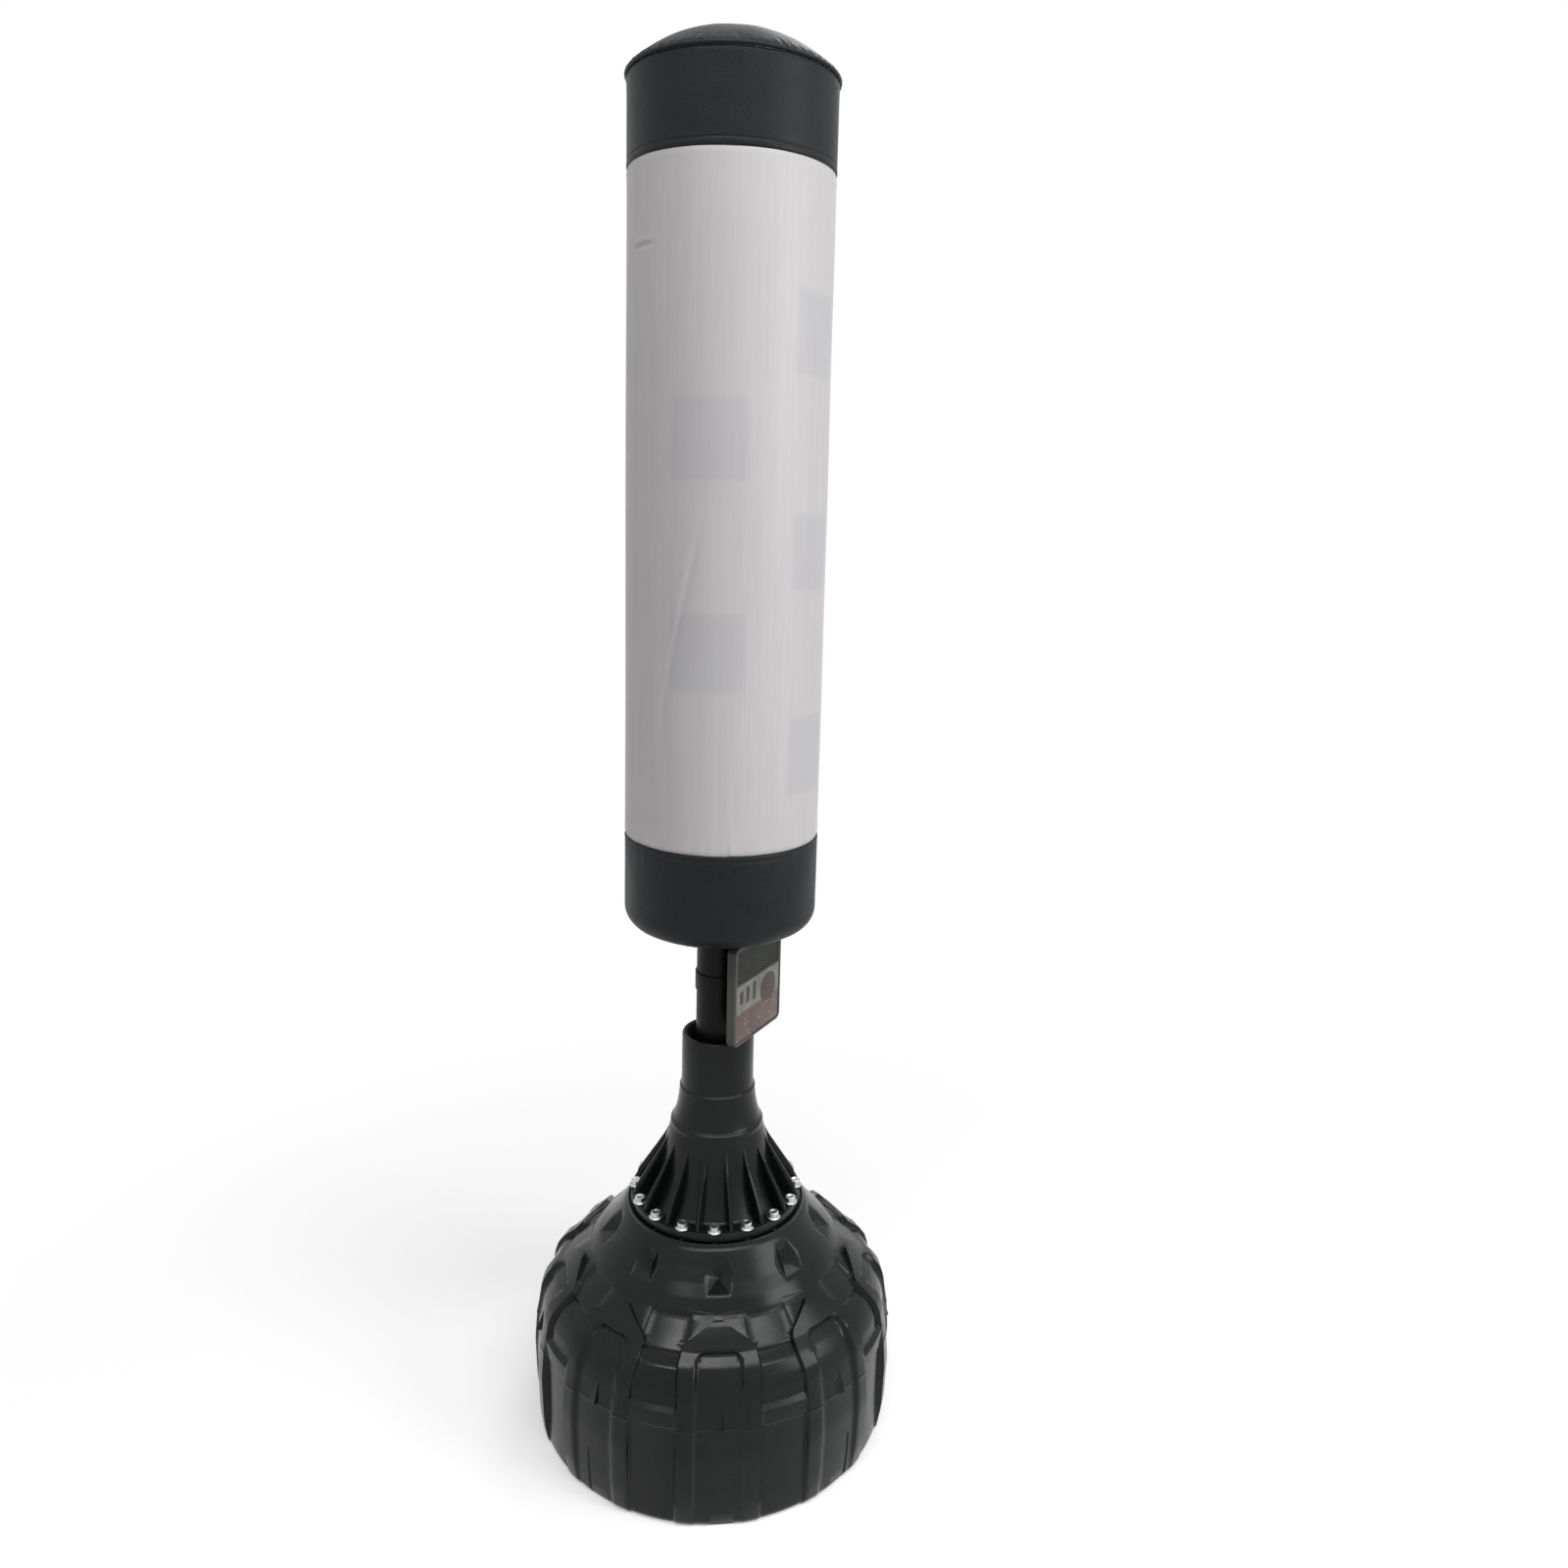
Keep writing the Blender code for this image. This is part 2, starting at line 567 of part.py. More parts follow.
def make_tank(material):
    """Hollow moulded tank with ribbed lugs, diamond pockets on its cone and a flanged mouth."""
    bm = bmesh.new()
    meridians, rounded = tank_rows()
    cone = cone_line()
    pocket_row = len(meridians) - len(CONE_CURVE) + POCKET_STEP
    outside = []
    for row, meridian in enumerate(meridians):
        depth = POCKET_DEPTH if row == pocket_row else 0.0
        outside.append([bm.verts.new(p) for p in tank_ring(*meridian, depth)])
    for low, high in zip(outside, outside[1:]):
        join_rows(bm, low, high)
    floor = UNDERSIDE_RISE + TANK_FLOOR
    side = inward(tank_gap(), TANK_WALL)
    foot = side[0][0]
    cavity = [(foot - 0.010, floor), (foot - 0.003, floor + 0.008), (foot, floor + 0.020), side[1], side[4],
              side[6], side[7], side[8], side[11]]
    cavity += inward(cone, POCKET_DEPTH + POCKET_WALL)
    cavity += [(TANK_MOUTH, TANK_SEAT_Z - TANK_FLANGE_THICK), (TANK_MOUTH, TANK_SEAT_Z)]
    inside = [[bm.verts.new(p) for p in inner_ring(radius, z)] for radius, z in rounded + cavity[::-1]]
    stitch(bm, outside[-1], inside[0])
    for low, high in zip(inside, inside[1:]):
        join_rows(bm, low, high)
    cap_row(bm, inside[-1], floor)
    ring = tank_gap()[0][0] + 0.007 - UNDERSIDE_RING
    underside = [(ring, 0.0), (ring - 0.003, UNDERSIDE_RISE)]
    below = [[bm.verts.new(p) for p in inner_ring(radius, z)] for radius, z in underside]
    stitch(bm, outside[0], below[0])
    join_rows(bm, below[0], below[1])
    cap_row(bm, below[1], UNDERSIDE_RISE)
    tank = add_object("base_tank", finish_mesh("base_tank", bm, 30.0), material)

    placed = filler_matrix()
    boss = prism_mesh("filler_boss", circle_outline(FILLER_BOSS, SMALL_STEPS), -FILLER_BOSS_DEPTH,
                      FILLER_BOSS_HEIGHT, placed)
    cut_with(tank, boss, "UNION")
    depth = 2 * (POCKET_DEPTH + POCKET_WALL)
    hole = prism_mesh("filler_hole", circle_outline(FILLER_TUBE + GAP, SMALL_STEPS), -depth, depth, placed)
    cut_with(tank, hole)
    hole_bottom = TANK_SEAT_Z - BOLT_IN_TANK - BOLT_HOLE_SPARE
    cut_with(tank, bolt_bores("tank_bolt_bores", hole_bottom, TANK_SEAT_Z + TANK_LIP_HEIGHT / 2))


def make_filler(plastic, cap_plastic, rubber, lift, turn):
    """Threaded filler neck, its seal and its screw cap."""
    placed = filler_matrix()
    flange = FILLER_BOSS_HEIGHT + GAP
    collar = flange + FILLER_FLANGE_THICK
    collar_top = collar + FILLER_COLLAR_HEIGHT
    neck = [(FILLER_BORE, -FILLER_TAIL), (FILLER_TUBE, -FILLER_TAIL), (FILLER_TUBE, flange),
            (FILLER_FLANGE, flange), (FILLER_FLANGE, collar), (FILLER_TUBE, collar),
            (FILLER_TUBE, collar + 0.002), (FILLER_THREAD, collar + 0.003),
            (FILLER_THREAD, collar_top - 0.001), (FILLER_TUBE, collar_top), (FILLER_BORE, collar_top)]
    turned("filler_neck", neck, plastic, steps=SMALL_STEPS, matrix=placed)

    seal = collar_top + GAP
    seal_top = seal + CAP_GASKET_THICK
    turned("filler_gasket", tube_profile(FILLER_BORE, FILLER_TUBE - GAP, seal, seal_top), rubber,
           lift, SMALL_STEPS, placed)

    bore = FILLER_THREAD + CAP_CLEARANCE
    rim = bore + CAP_WALL
    low = collar + GAP
    ceiling = seal_top + GAP
    top = ceiling + CAP_TOP_THICK
    steps = CAP_GRIPS * 2
    angles = [TURN * i / steps for i in range(steps)]

    def grip_ring(radius, z):
        """The cap's outline, drawn in between its grips."""
        radii = [radius - (CAP_GRIP_DEPTH if i % 2 else 0.0) for i in range(steps)]
        return [(r * math.cos(a), r * math.sin(a), z) for r, a in zip(radii, angles)]

    def plain_ring(radius, z):
        return [(radius * math.cos(a), radius * math.sin(a), z) for a in angles]

    bm = bmesh.new()
    loft_rings(bm, [plain_ring(0.001, ceiling), plain_ring(bore, ceiling), plain_ring(bore, low),
                    grip_ring(rim, low), grip_ring(rim, top - 0.0015), plain_ring(rim - 0.003, top)])
    add_object("filler_cap", finish_mesh("filler_cap", bm, matrix=placed), cap_plastic, turn)


def make_flange_stack(rubber, steel, zinc):
    """Gasket, steel base plate and the flange bolts that clamp the neck to the tank."""
    turned("tank_gasket", tube_profile(TANK_MOUTH, GASKET_RADIUS, GASKET_Z, GASKET_Z + GASKET_THICK), rubber)
    plate = turned("spring_base_plate",
                   disc_profile(FLANGE_RADIUS, BASE_PLATE_Z, BASE_PLATE_Z + BASE_PLATE_THICK), steel)
    cut_with(plate, bolt_bores("plate_bores", GASKET_Z, FLANGE_TOP_Z))

    def ring(radius, z, count):
        return [bm.verts.new((x, y, z)) for x, y in circle_outline(radius, count)]

    hex_radius = BOLT_HEX_FLATS / 2 / math.cos(math.radians(30))
    bm = bmesh.new()
    shank_rows = [ring(BOLT_SHANK, -BOLT_REACH, 6), ring(BOLT_SHANK, 0.0, 6)]
    flange_rows = [ring(BOLT_FLANGE, 0.0, 12), ring(BOLT_FLANGE, BOLT_FLANGE_THICK, 12)]
    head_rows = [ring(hex_radius, BOLT_FLANGE_THICK, 6),
                 ring(hex_radius, BOLT_FLANGE_THICK + BOLT_HEX_HEIGHT, 6)]
    for low, high in (shank_rows, flange_rows, head_rows):
        join_rows(bm, low, high)
    stitch(bm, shank_rows[1], flange_rows[0])
    stitch(bm, flange_rows[1], head_rows[0])
    bm.faces.new(shank_rows[0])
    bm.faces.new(head_rows[1])
    mesh = finish_mesh("flange_bolt", bm, 30.0)
    for k, turn in enumerate(bolt_turns(), 1):
        bolt = add_object(f"flange_bolt_{k:02d}", mesh, zinc)
        bolt.location = around(BOLT_CIRCLE, turn, BOLT_SEAT_Z)
        bolt.rotation_euler.z = math.radians(turn)


def make_neck(plastic, rubber):
    """Bell-shaped neck: a ringed collar over a ribbed cone and a bolted flange, with a rubber mouth liner."""
    top = NECK_TOP_RADIUS
    step_z = NECK_TOP_Z - NECK_STEP_DOWN
    ring = NECK_RING_RADIUS
    ring_z = NECK_TOP_Z - NECK_RING_DOWN
    foot = NECK_BELL_FOOT
    bell_top = (ring - 0.001, ring_z - 0.0095)
    bell_foot = (foot, FLANGE_TOP_Z + 0.003)
    bell = along(bell_top, bell_foot, BELL_CURVE)
    down = step_z - ring_z
    outside = [(top - NECK_WALL, NECK_TOP_Z), (top - 0.0015, NECK_TOP_Z), (top, NECK_TOP_Z - 0.003),
               (top, step_z + 0.028), (top + 0.0006, step_z + 0.0015),
               (top + 0.0006 + NECK_STEP, step_z - 0.0012), (top + NECK_FLARE * 0.31, ring_z + down * 0.75),
               (top + NECK_FLARE * 0.57, ring_z + down * 0.38), (ring - 0.0023, ring_z + 0.0035),
               (ring, ring_z), (ring + 0.0005, ring_z - 0.0065)]
    outside += bell
    outside += [(foot + 0.002, FLANGE_TOP_Z), (FLANGE_RADIUS - 0.001, FLANGE_TOP_Z),
                (FLANGE_RADIUS, FLANGE_TOP_Z - 0.001), (FLANGE_RADIUS, NECK_FOOT_Z)]
    inside = [(TANK_MOUTH, NECK_FOOT_Z)]
    inside += [(radius - NECK_BELL_WALL, z - 0.001) for radius, z in (bell[5], bell[3], bell[1], bell[0])]
    inside += [(top + NECK_FLARE * 0.57 - NECK_BELL_WALL, ring_z + down * 0.32), (top - NECK_WALL, step_z)]
    neck = turned("neck", outside + inside, plastic, steps=NECK_STEPS)

    rib_top = (ring - 0.0005, ring_z - 0.0080)
    rib_foot = (FLANGE_RADIUS - NECK_RIB_EDGE, FLANGE_TOP_Z - 0.002)
    edge = along(rib_top, (rib_foot[0] - 0.002, FLANGE_TOP_Z + 0.004), RIB_CURVE) + [rib_foot]
    root = [(foot - NECK_RIB_ROOT, FLANGE_TOP_Z - 0.002)]
    root += [(radius - NECK_RIB_ROOT, z) for radius, z in reversed(bell[:-1])]
    turn_out = Matrix(((1, 0, 0, 0), (0, 0, 1, 0), (0, 1, 0, 0), (0, 0, 0, 1)))
    rib = prism_mesh("rib", edge + root, -NECK_RIB_THICK / 2, NECK_RIB_THICK / 2, turn_out)
    half = 180 / BOLT_COUNT
    cut_with(neck, repeated_mesh("neck_ribs", rib, [turn + half - 90 for turn in bolt_turns()]), "UNION")
    cut_with(neck, bolt_bores("neck_bores", BASE_PLATE_Z, FLANGE_TOP_Z + 0.002))

    outer = top - NECK_WALL - GAP
    liner = [(outer, NECK_TOP_Z - LINER_HEIGHT), (outer, NECK_TOP_Z - 0.0015),
             (outer - 0.0008, NECK_TOP_Z - 0.0004), (outer - LINER_THICK + 0.0008, NECK_TOP_Z - 0.0012),
             (outer - LINER_THICK, NECK_TOP_Z - 0.0035), (outer - LINER_THICK, NECK_TOP_Z - LINER_HEIGHT)]
    turned("neck_liner", liner, rubber)


def make_spring(steel, spring_steel, rubber, first_tilt, second_tilt):
    """Pedestal, coil spring and rubber buffer under the foot of the post."""
    low = BASE_PLATE_Z + BASE_PLATE_THICK + GAP
    spring_low = PIVOT_Z - SPRING_HALF_HEIGHT
    spring_high = PIVOT_Z + SPRING_HALF_HEIGHT
    seat_low = spring_low - GAP
    tip = PIVOT_Z - SPIGOT_FROM_PIVOT
    rim = SPRING_MEAN + SPRING_WIRE + PEDESTAL_MARGIN
    waist = rim - PEDESTAL_WAIST
    pedestal = [(0.0, low), (PEDESTAL_FLANGE, low), (PEDESTAL_FLANGE, low + PEDESTAL_FLANGE_THICK),
                (waist, low + PEDESTAL_FLANGE_THICK + 0.006), (waist, seat_low - 0.010),
                (rim, seat_low - 0.005), (rim, seat_low), (SPIGOT_RADIUS, seat_low),
                (SPIGOT_RADIUS, tip - 0.002), (SPIGOT_RADIUS - 0.002, tip), (0.0, tip)]
    turned("spring_pedestal", pedestal, steel, steps=HIDDEN_STEPS)

    rise = 2 * (SPRING_HALF_HEIGHT - SPRING_WIRE)
    total = SPRING_TURNS * SPRING_STEPS
    slope = math.atan2(rise, TURN * SPRING_MEAN * SPRING_TURNS)
    rings = []
    for i in range(total + 1):
        angle = TURN * i / SPRING_STEPS
        outward = Vector((math.cos(angle), math.sin(angle), 0))
        along = Vector((-math.sin(angle), math.cos(angle), 0))
        flat = 1.0 if 0 < i < total else 0.0
        up = Vector((0, 0, 1)) * math.cos(slope * flat) - along * math.sin(slope * flat)
        middle = outward * SPRING_MEAN
        middle.z = spring_low + SPRING_WIRE + rise * i / total
        corners = [TURN * k / 6 for k in range(6)]
        rings.append([middle + (outward * math.cos(c) + up * math.sin(c)) * SPRING_WIRE for c in corners])
    bm = bmesh.new()
    loft_rings(bm, rings)
    add_object("coil_spring", finish_mesh("coil_spring", bm, 70.0), spring_steel)

    bore = SPIGOT_RADIUS + BUFFER_CLEARANCE
    half = BUFFER_HALF_HEIGHT
    web = SPIGOT_FROM_PIVOT - BUFFER_TIP_GAP
    buffer = [(0.0, PIVOT_Z - web), (bore, PIVOT_Z - web), (bore, PIVOT_Z - half),
              (BUFFER_RADIUS, PIVOT_Z - half), (BUFFER_RADIUS, PIVOT_Z + half), (bore, PIVOT_Z + half),
              (bore, PIVOT_Z + web), (0.0, PIVOT_Z + web)]
    turned("rubber_buffer", buffer, rubber, first_tilt, HIDDEN_STEPS)

    seat = spring_high + GAP
    tip = PIVOT_Z + SPIGOT_FROM_PIVOT
    rim = SPRING_MEAN + SPRING_WIRE + SEAT_MARGIN
    upper = [(0.0, tip), (SPIGOT_RADIUS - 0.002, tip), (SPIGOT_RADIUS, tip + 0.002), (SPIGOT_RADIUS, seat),
             (rim, seat), (rim, seat + SEAT_THICK), (0.0, seat + SEAT_THICK)]
    turned("upper_spring_seat", upper, steel, second_tilt, steps=HIDDEN_STEPS)


def make_post(steel, plastic, parent):
    """Steel post, the plug in its top and the plate that carries the bag."""
    low = PIVOT_Z + SPRING_HALF_HEIGHT + GAP + SEAT_THICK + GAP
    inner = POST_RADIUS - POST_WALL
    turned("post_tube", tube_profile(inner, POST_RADIUS, low, POST_TOP_Z), steel, parent)
    plug = [(0.0, POST_TOP_Z - PLUG_HEIGHT), (inner - GAP, POST_TOP_Z - PLUG_HEIGHT),
            (inner - GAP, POST_TOP_Z + GAP), (POST_RADIUS, POST_TOP_Z + GAP),
            (POST_RADIUS - 0.001, POST_TOP_Z + PLUG_RIM), (0.0, POST_TOP_Z + PLUG_RIM)]
    turned("post_plug", plug, plastic, parent, steps=HIDDEN_STEPS)
    bottom = BAG_BOTTOM_Z + COVER_THICK + FOAM_GAP
    rim = BAG_RADIUS - BAG_BOTTOM_ROUND - SUPPORT_MARGIN
    turned("bag_support_plate", tube_profile(POST_RADIUS + GAP, rim, bottom, bottom + SUPPORT_THICK), steel,
           parent)


def dome(radius, crown):
    """Radius and height over the rim along a domed top of this rim radius and crown height."""
    def height(at):
        return crown * (1 - (at / radius) ** CAP_FULLNESS)
    steps = [1.0, 0.96, 0.86, 0.68, 0.42]
    return [(radius * s, height(radius * s)) for s in steps] + [(0.0, height(0.0))]


def make_bag(leather, satin, foam, felt, plastic, thread, parent):
    """Core tube, foam and padding inside a stitched cover of three bands and a domed top."""
    inner = COVER_INNER
    core_low = BAG_BOTTOM_Z + COVER_THICK + FOAM_GAP + SUPPORT_THICK + GAP
    core_bore = POST_RADIUS + CORE_CLEARANCE
    core_rim = core_bore + CORE_WALL
    turned("bag_core_tube", tube_profile(core_bore, core_rim, core_low, BAND_TOP_Z - CORE_TOP_GAP), plastic,
           parent)

    wrap_rim = inner - FOAM_GAP
    foam_rim = wrap_rim - WRAP_THICK - FOAM_GAP
    round_z = BAG_BOTTOM_Z + BAG_BOTTOM_ROUND
    foam_top = BAND_TOP_Z - FOAM_TOP_GAP
    foam_round = round_z - core_low
    foam_profile = [(core_rim + FOAM_GAP, core_low)]
    foam_profile += arc((foam_rim - foam_round, round_z), foam_round, -90, 0, 4)
    foam_profile += [(foam_rim, foam_top), (core_rim + FOAM_GAP, foam_top)]
    turned("bag_foam", foam_profile, foam, parent)
    wrap_top = BAND_TOP_Z - WRAP_TOP_GAP
    turned("bag_padding", tube_profile(foam_rim + FOAM_GAP, wrap_rim, round_z, wrap_top), felt, parent)

    corner = BAG_BOTTOM_ROUND
    hole = POST_RADIUS + COVER_HOLE_CLEARANCE
    outer_arc = arc((BAG_RADIUS - corner, BAG_BOTTOM_Z + corner), corner, -90, 0, 4)
    inner_arc = arc((BAG_RADIUS - corner, BAG_BOTTOM_Z + corner), corner - COVER_THICK, 0, -90, 4)
    bottom = [(hole, BAG_BOTTOM_Z)] + outer_arc + [(BAG_RADIUS, SLEEVE_BOTTOM_Z - GAP),
                                                  (inner, SLEEVE_BOTTOM_Z - GAP)]
    bottom += inner_arc + [(hole, BAG_BOTTOM_Z + COVER_THICK)]
    turned("cover_bottom", bottom, leather, parent)
    turned("cover_sleeve", tube_profile(inner, BAG_RADIUS - SLEEVE_RECESS, SLEEVE_BOTTOM_Z, SLEEVE_TOP_Z),
           satin, parent)
    turned("cover_top_band", tube_profile(inner, BAG_RADIUS, SLEEVE_TOP_Z + GAP, BAND_TOP_Z - GAP), leather,
           parent)

    piping_z = BAND_TOP_Z + PIPING_RADIUS
    piping_middle = BAG_RADIUS + PIPING_PROUD - PIPING_RADIUS
    turned("top_piping", arc((piping_middle, piping_z), PIPING_RADIUS, 0, 300, 5), thread, parent)

    rim_z = piping_z + PIPING_RADIUS + GAP
    cap_rim = BAG_RADIUS + CAP_OVERHANG
    outside = [(radius, rim_z + height) for radius, height in dome(cap_rim, CAP_HEIGHT)]
    lining = dome(cap_rim - COVER_THICK, CAP_HEIGHT - COVER_THICK)
    within = [(radius, rim_z + height) for radius, height in lining]
    turned("top_cap", outside[::-1] + within, leather, parent)
    pad_rim = inner - FOAM_GAP
    pad = [(0.0, wrap_top + FOAM_GAP), (pad_rim, wrap_top + FOAM_GAP), (pad_rim, rim_z)]
    pad_height = CAP_HEIGHT - COVER_THICK - 3 * FOAM_GAP
    pad += [(radius, rim_z + height) for radius, height in dome(pad_rim, pad_height)][1:]
    turned("top_pad", pad, foam, parent)


def make_zip(tape, metal, parent, slide, swing):
    """Zip down the back of the cover: its tape, its slider and the pull hinged on the slider's bail."""
    low = BAG_RADIUS + GAP
    half_angle = math.degrees(math.asin(ZIP_WIDTH / 2 / ZIP_OUTSIDE))
    angles = [180 - half_angle + 2 * half_angle * i / 4 for i in range(5)]
    outline = [around(low, a) for a in angles] + [around(ZIP_OUTSIDE, a) for a in reversed(angles)]
    mesh = prism_mesh("zip_tape", [(p.x, p.y) for p in outline], BAG_BOTTOM_Z + ZIP_BOTTOM_GAP,
                      BAND_TOP_Z - ZIP_TOP_GAP)
    add_object("zip_tape", mesh, tape, parent)

    half = SLIDER_WIDTH / 2
    back = ZIP_OUTSIDE + GAP
    sides = [(-half * 0.7, back), (half * 0.7, back), (half, back + 0.001), (half * 0.8, SLIDER_FRONT),
             (-half * 0.8, SLIDER_FRONT), (-half, back + 0.001)]
    block = prism_mesh("zip_slider", sides, SLIDER_LOW_Z, SLIDER_LOW_Z + SLIDER_HEIGHT)
    slider = add_object("zip_slider", block, metal, slide)
    side_on = Matrix(((0, 0, 1, 0), (1, 0, 0, PULL_AXIS_OUT), (0, 1, 0, PULL_AXIS_Z), (0, 0, 0, 1)))
    root = -BAIL_INSIDE - SLIDER_DEPTH / 2
    reach = BAIL_INSIDE
    wire = BAIL_WIRE
    bail = [(root, reach), (reach, reach), (reach, -reach), (root, -reach), (root, -reach - wire),
            (reach + wire, -reach - wire), (reach + wire, reach + wire), (root, reach + wire)]
    cut_with(slider, prism_mesh("zip_bail", bail, -BAIL_WIDTH / 2, BAIL_WIDTH / 2, side_on), "UNION")

    bar = PULL_BAR / 2
    outline = round_outline(PULL_WIDTH, PULL_LENGTH, 0.0025, 3)
    facing = Matrix(((1, 0, 0, 0), (0, 0, 1, PULL_AXIS_OUT), (0, 1, 0, PULL_AXIS_Z), (0, 0, 0, 1)))
    hang = facing @ Matrix.Translation((0, bar - PULL_LENGTH / 2, 0))
    pull = add_object("zip_pull", prism_mesh("zip_pull", outline, -bar, bar, hang), metal, swing)
    eye = box_outline(PULL_EYE_WIDTH, PULL_EYE_LENGTH, (0, -bar - PULL_EYE_LENGTH / 2))
    cut_with(pull, prism_mesh("zip_eye", eye, -2 * bar, 2 * bar, facing))
    window = round_outline(PULL_WIDTH * 0.5, PULL_WINDOW_LENGTH, 0.0012, 2)
    lower = hang @ Matrix.Translation((0, -PULL_LENGTH / 2 + PULL_WINDOW_LENGTH / 2 + 0.0025, 0))
    cut_with(pull, prism_mesh("zip_window", window, -2 * bar, 2 * bar, lower))


def panel_matrix():
    """Places a piece drawn with X along the panel, Y up and Z out of its face."""
    out = around(1.0, PANEL_TURN)
    across = Vector((-out.y, out.x, 0.0))
    up = Vector((0.0, 0.0, 1.0))
    matrix = Matrix.Identity(4)
    matrix.col[0][:3] = across
    matrix.col[1][:3] = up
    matrix.col[2][:3] = out
    matrix.translation = Vector((0, 0, (PANEL_BOTTOM_Z + PANEL_TOP_Z) / 2))
    return matrix


def make_panel(plastic, face, grille, steel, parent):
    """Small framed panel on the post: its clamp, tray, face plate and perforated grille."""
    placed = panel_matrix()
    height = PANEL_HEIGHT
    back = PANEL_BACK
    tray = add_object("panel_housing",
                      prism_mesh("panel_housing", round_outline(PANEL_WIDTH, height, PANEL_CORNER), back,
                                 PANEL_OUT, placed), plastic, parent)
    inner_width = PANEL_WIDTH - 2 * PANEL_RIM
    inner_height = height - 2 * PANEL_RIM
    corner = PANEL_CORNER - PANEL_RIM
    floor = PANEL_OUT - PANEL_POCKET
    pocket = round_outline(inner_width, inner_height, corner)
    cut_with(tray, prism_mesh("panel_pocket", pocket, floor, PANEL_OUT + 0.002, placed))

    low = -inner_height / 2 + GAP
    high = inner_height / 2 - GAP
    split = high - GRILLE_HEIGHT
    width = inner_width - 2 * GAP

    def plate(name, bottom, top, material):
        outline = box_outline(width, top - bottom, (0.0, (bottom + top) / 2))
        chamfer = PLATE_CHAMFER
        points = []
        for x, y in outline:
            at_end = abs(y - low) < 1e-9 or abs(y - high) < 1e-9
            if not at_end:
                points.append((x, y))
                continue
            inward_x = -math.copysign(chamfer, x)
            inward_y = chamfer if y < 0 else -chamfer
            pair = [(x + inward_x, y), (x, y + inward_y)]
            first_along = (x < 0) == (y < 0)
            points += pair[::-1] if first_along else pair
        mesh = prism_mesh(name, points, floor + GAP, floor + GAP + PLATE_THICK, placed)
        return add_object(name, mesh, material, parent)

    plate("panel_face", low, split - GAP, face)
    screen = plate("panel_grille", split, high, grille)
    columns = int((width - 2 * GRILLE_MARGIN) / GRILLE_PITCH)
    row_step = GRILLE_PITCH * math.sin(math.radians(60))
    rows = int((high - split - GRILLE_MARGIN) / row_step)
    start_y = (split + high) / 2 - (rows - 1) / 2 * row_step
    bm = bmesh.new()
    for row in range(rows):
        count = columns - row % 2
        for column in range(count):
            x = (column - (count - 1) / 2) * GRILLE_PITCH
            y = start_y + row * row_step
            ring = circle_outline(GRILLE_HOLE, 6, (x, y))
            loft_rings(bm, [[(a, b, floor - 0.001) for a, b in ring],
                            [(a, b, PANEL_OUT + 0.001) for a, b in ring]])
    cut_with(screen, finish_mesh("grille_holes", bm, matrix=placed))

    bore = POST_RADIUS + GAP
    rim = bore + CLAMP_THICK
    low_z = CLAMP_Z
    high_z = CLAMP_Z + CLAMP_HEIGHT
    clamp = turned("panel_clamp", tube_profile(bore, rim, low_z, high_z), steel, parent, SMALL_STEPS * 2)
    flat = Matrix.Rotation(math.radians(PANEL_TURN), 4, "Z")
    behind = Matrix.Rotation(math.radians(PANEL_TURN + CLAMP_EAR_TURN), 4, "Z")
    reach = back - GAP
    near = rim - 0.0012
    arm = box_outline(CLAMP_ARM_WIDTH, reach - near, (0.0, -(reach + near) / 2))
    ear_width = 2 * CLAMP_EAR_THICK + CLAMP_SLOT
    ear_end = rim + CLAMP_EAR_REACH
    ears = box_outline(ear_width, ear_end - near, (0.0, (ear_end + near) / 2))
    cut_with(clamp, prism_mesh("clamp_arm", arm, low_z, high_z, flat), "UNION")
    ear_low, ear_high = low_z + CLAMP_EAR_INSET, high_z - CLAMP_EAR_INSET
    cut_with(clamp, prism_mesh("clamp_ears", ears, ear_low, ear_high, behind), "UNION")
    slot = box_outline(CLAMP_SLOT, CLAMP_EAR_REACH + 0.010, (0.0, rim + CLAMP_EAR_REACH / 2 - 0.001))
    cut_with(clamp, prism_mesh("clamp_slot", slot, low_z - 0.002, high_z + 0.002, behind))
    along = Matrix.Rotation(math.radians(90), 4, "Y")
    screw_place = behind @ Matrix.Translation((0, rim + CLAMP_EAR_REACH * 0.6, (low_z + high_z) / 2)) @ along
    reach = ear_width / 2
    cut_with(clamp, prism_mesh("clamp_bore", circle_outline(CLAMP_SCREW + GAP, 12), -reach - 0.002,
                               reach + 0.002, screw_place))
    head = reach + GAP
    end = -reach - CLAMP_SCREW_END
    screw = [(0.0, end), (CLAMP_SCREW, end), (CLAMP_SCREW, head), (CLAMP_SCREW_HEAD, head),
             (CLAMP_SCREW_HEAD, head + CLAMP_SCREW_HEAD_THICK), (0.0, head + CLAMP_SCREW_HEAD_THICK)]
    turned("clamp_screw", screw, steel, parent, 12, screw_place)


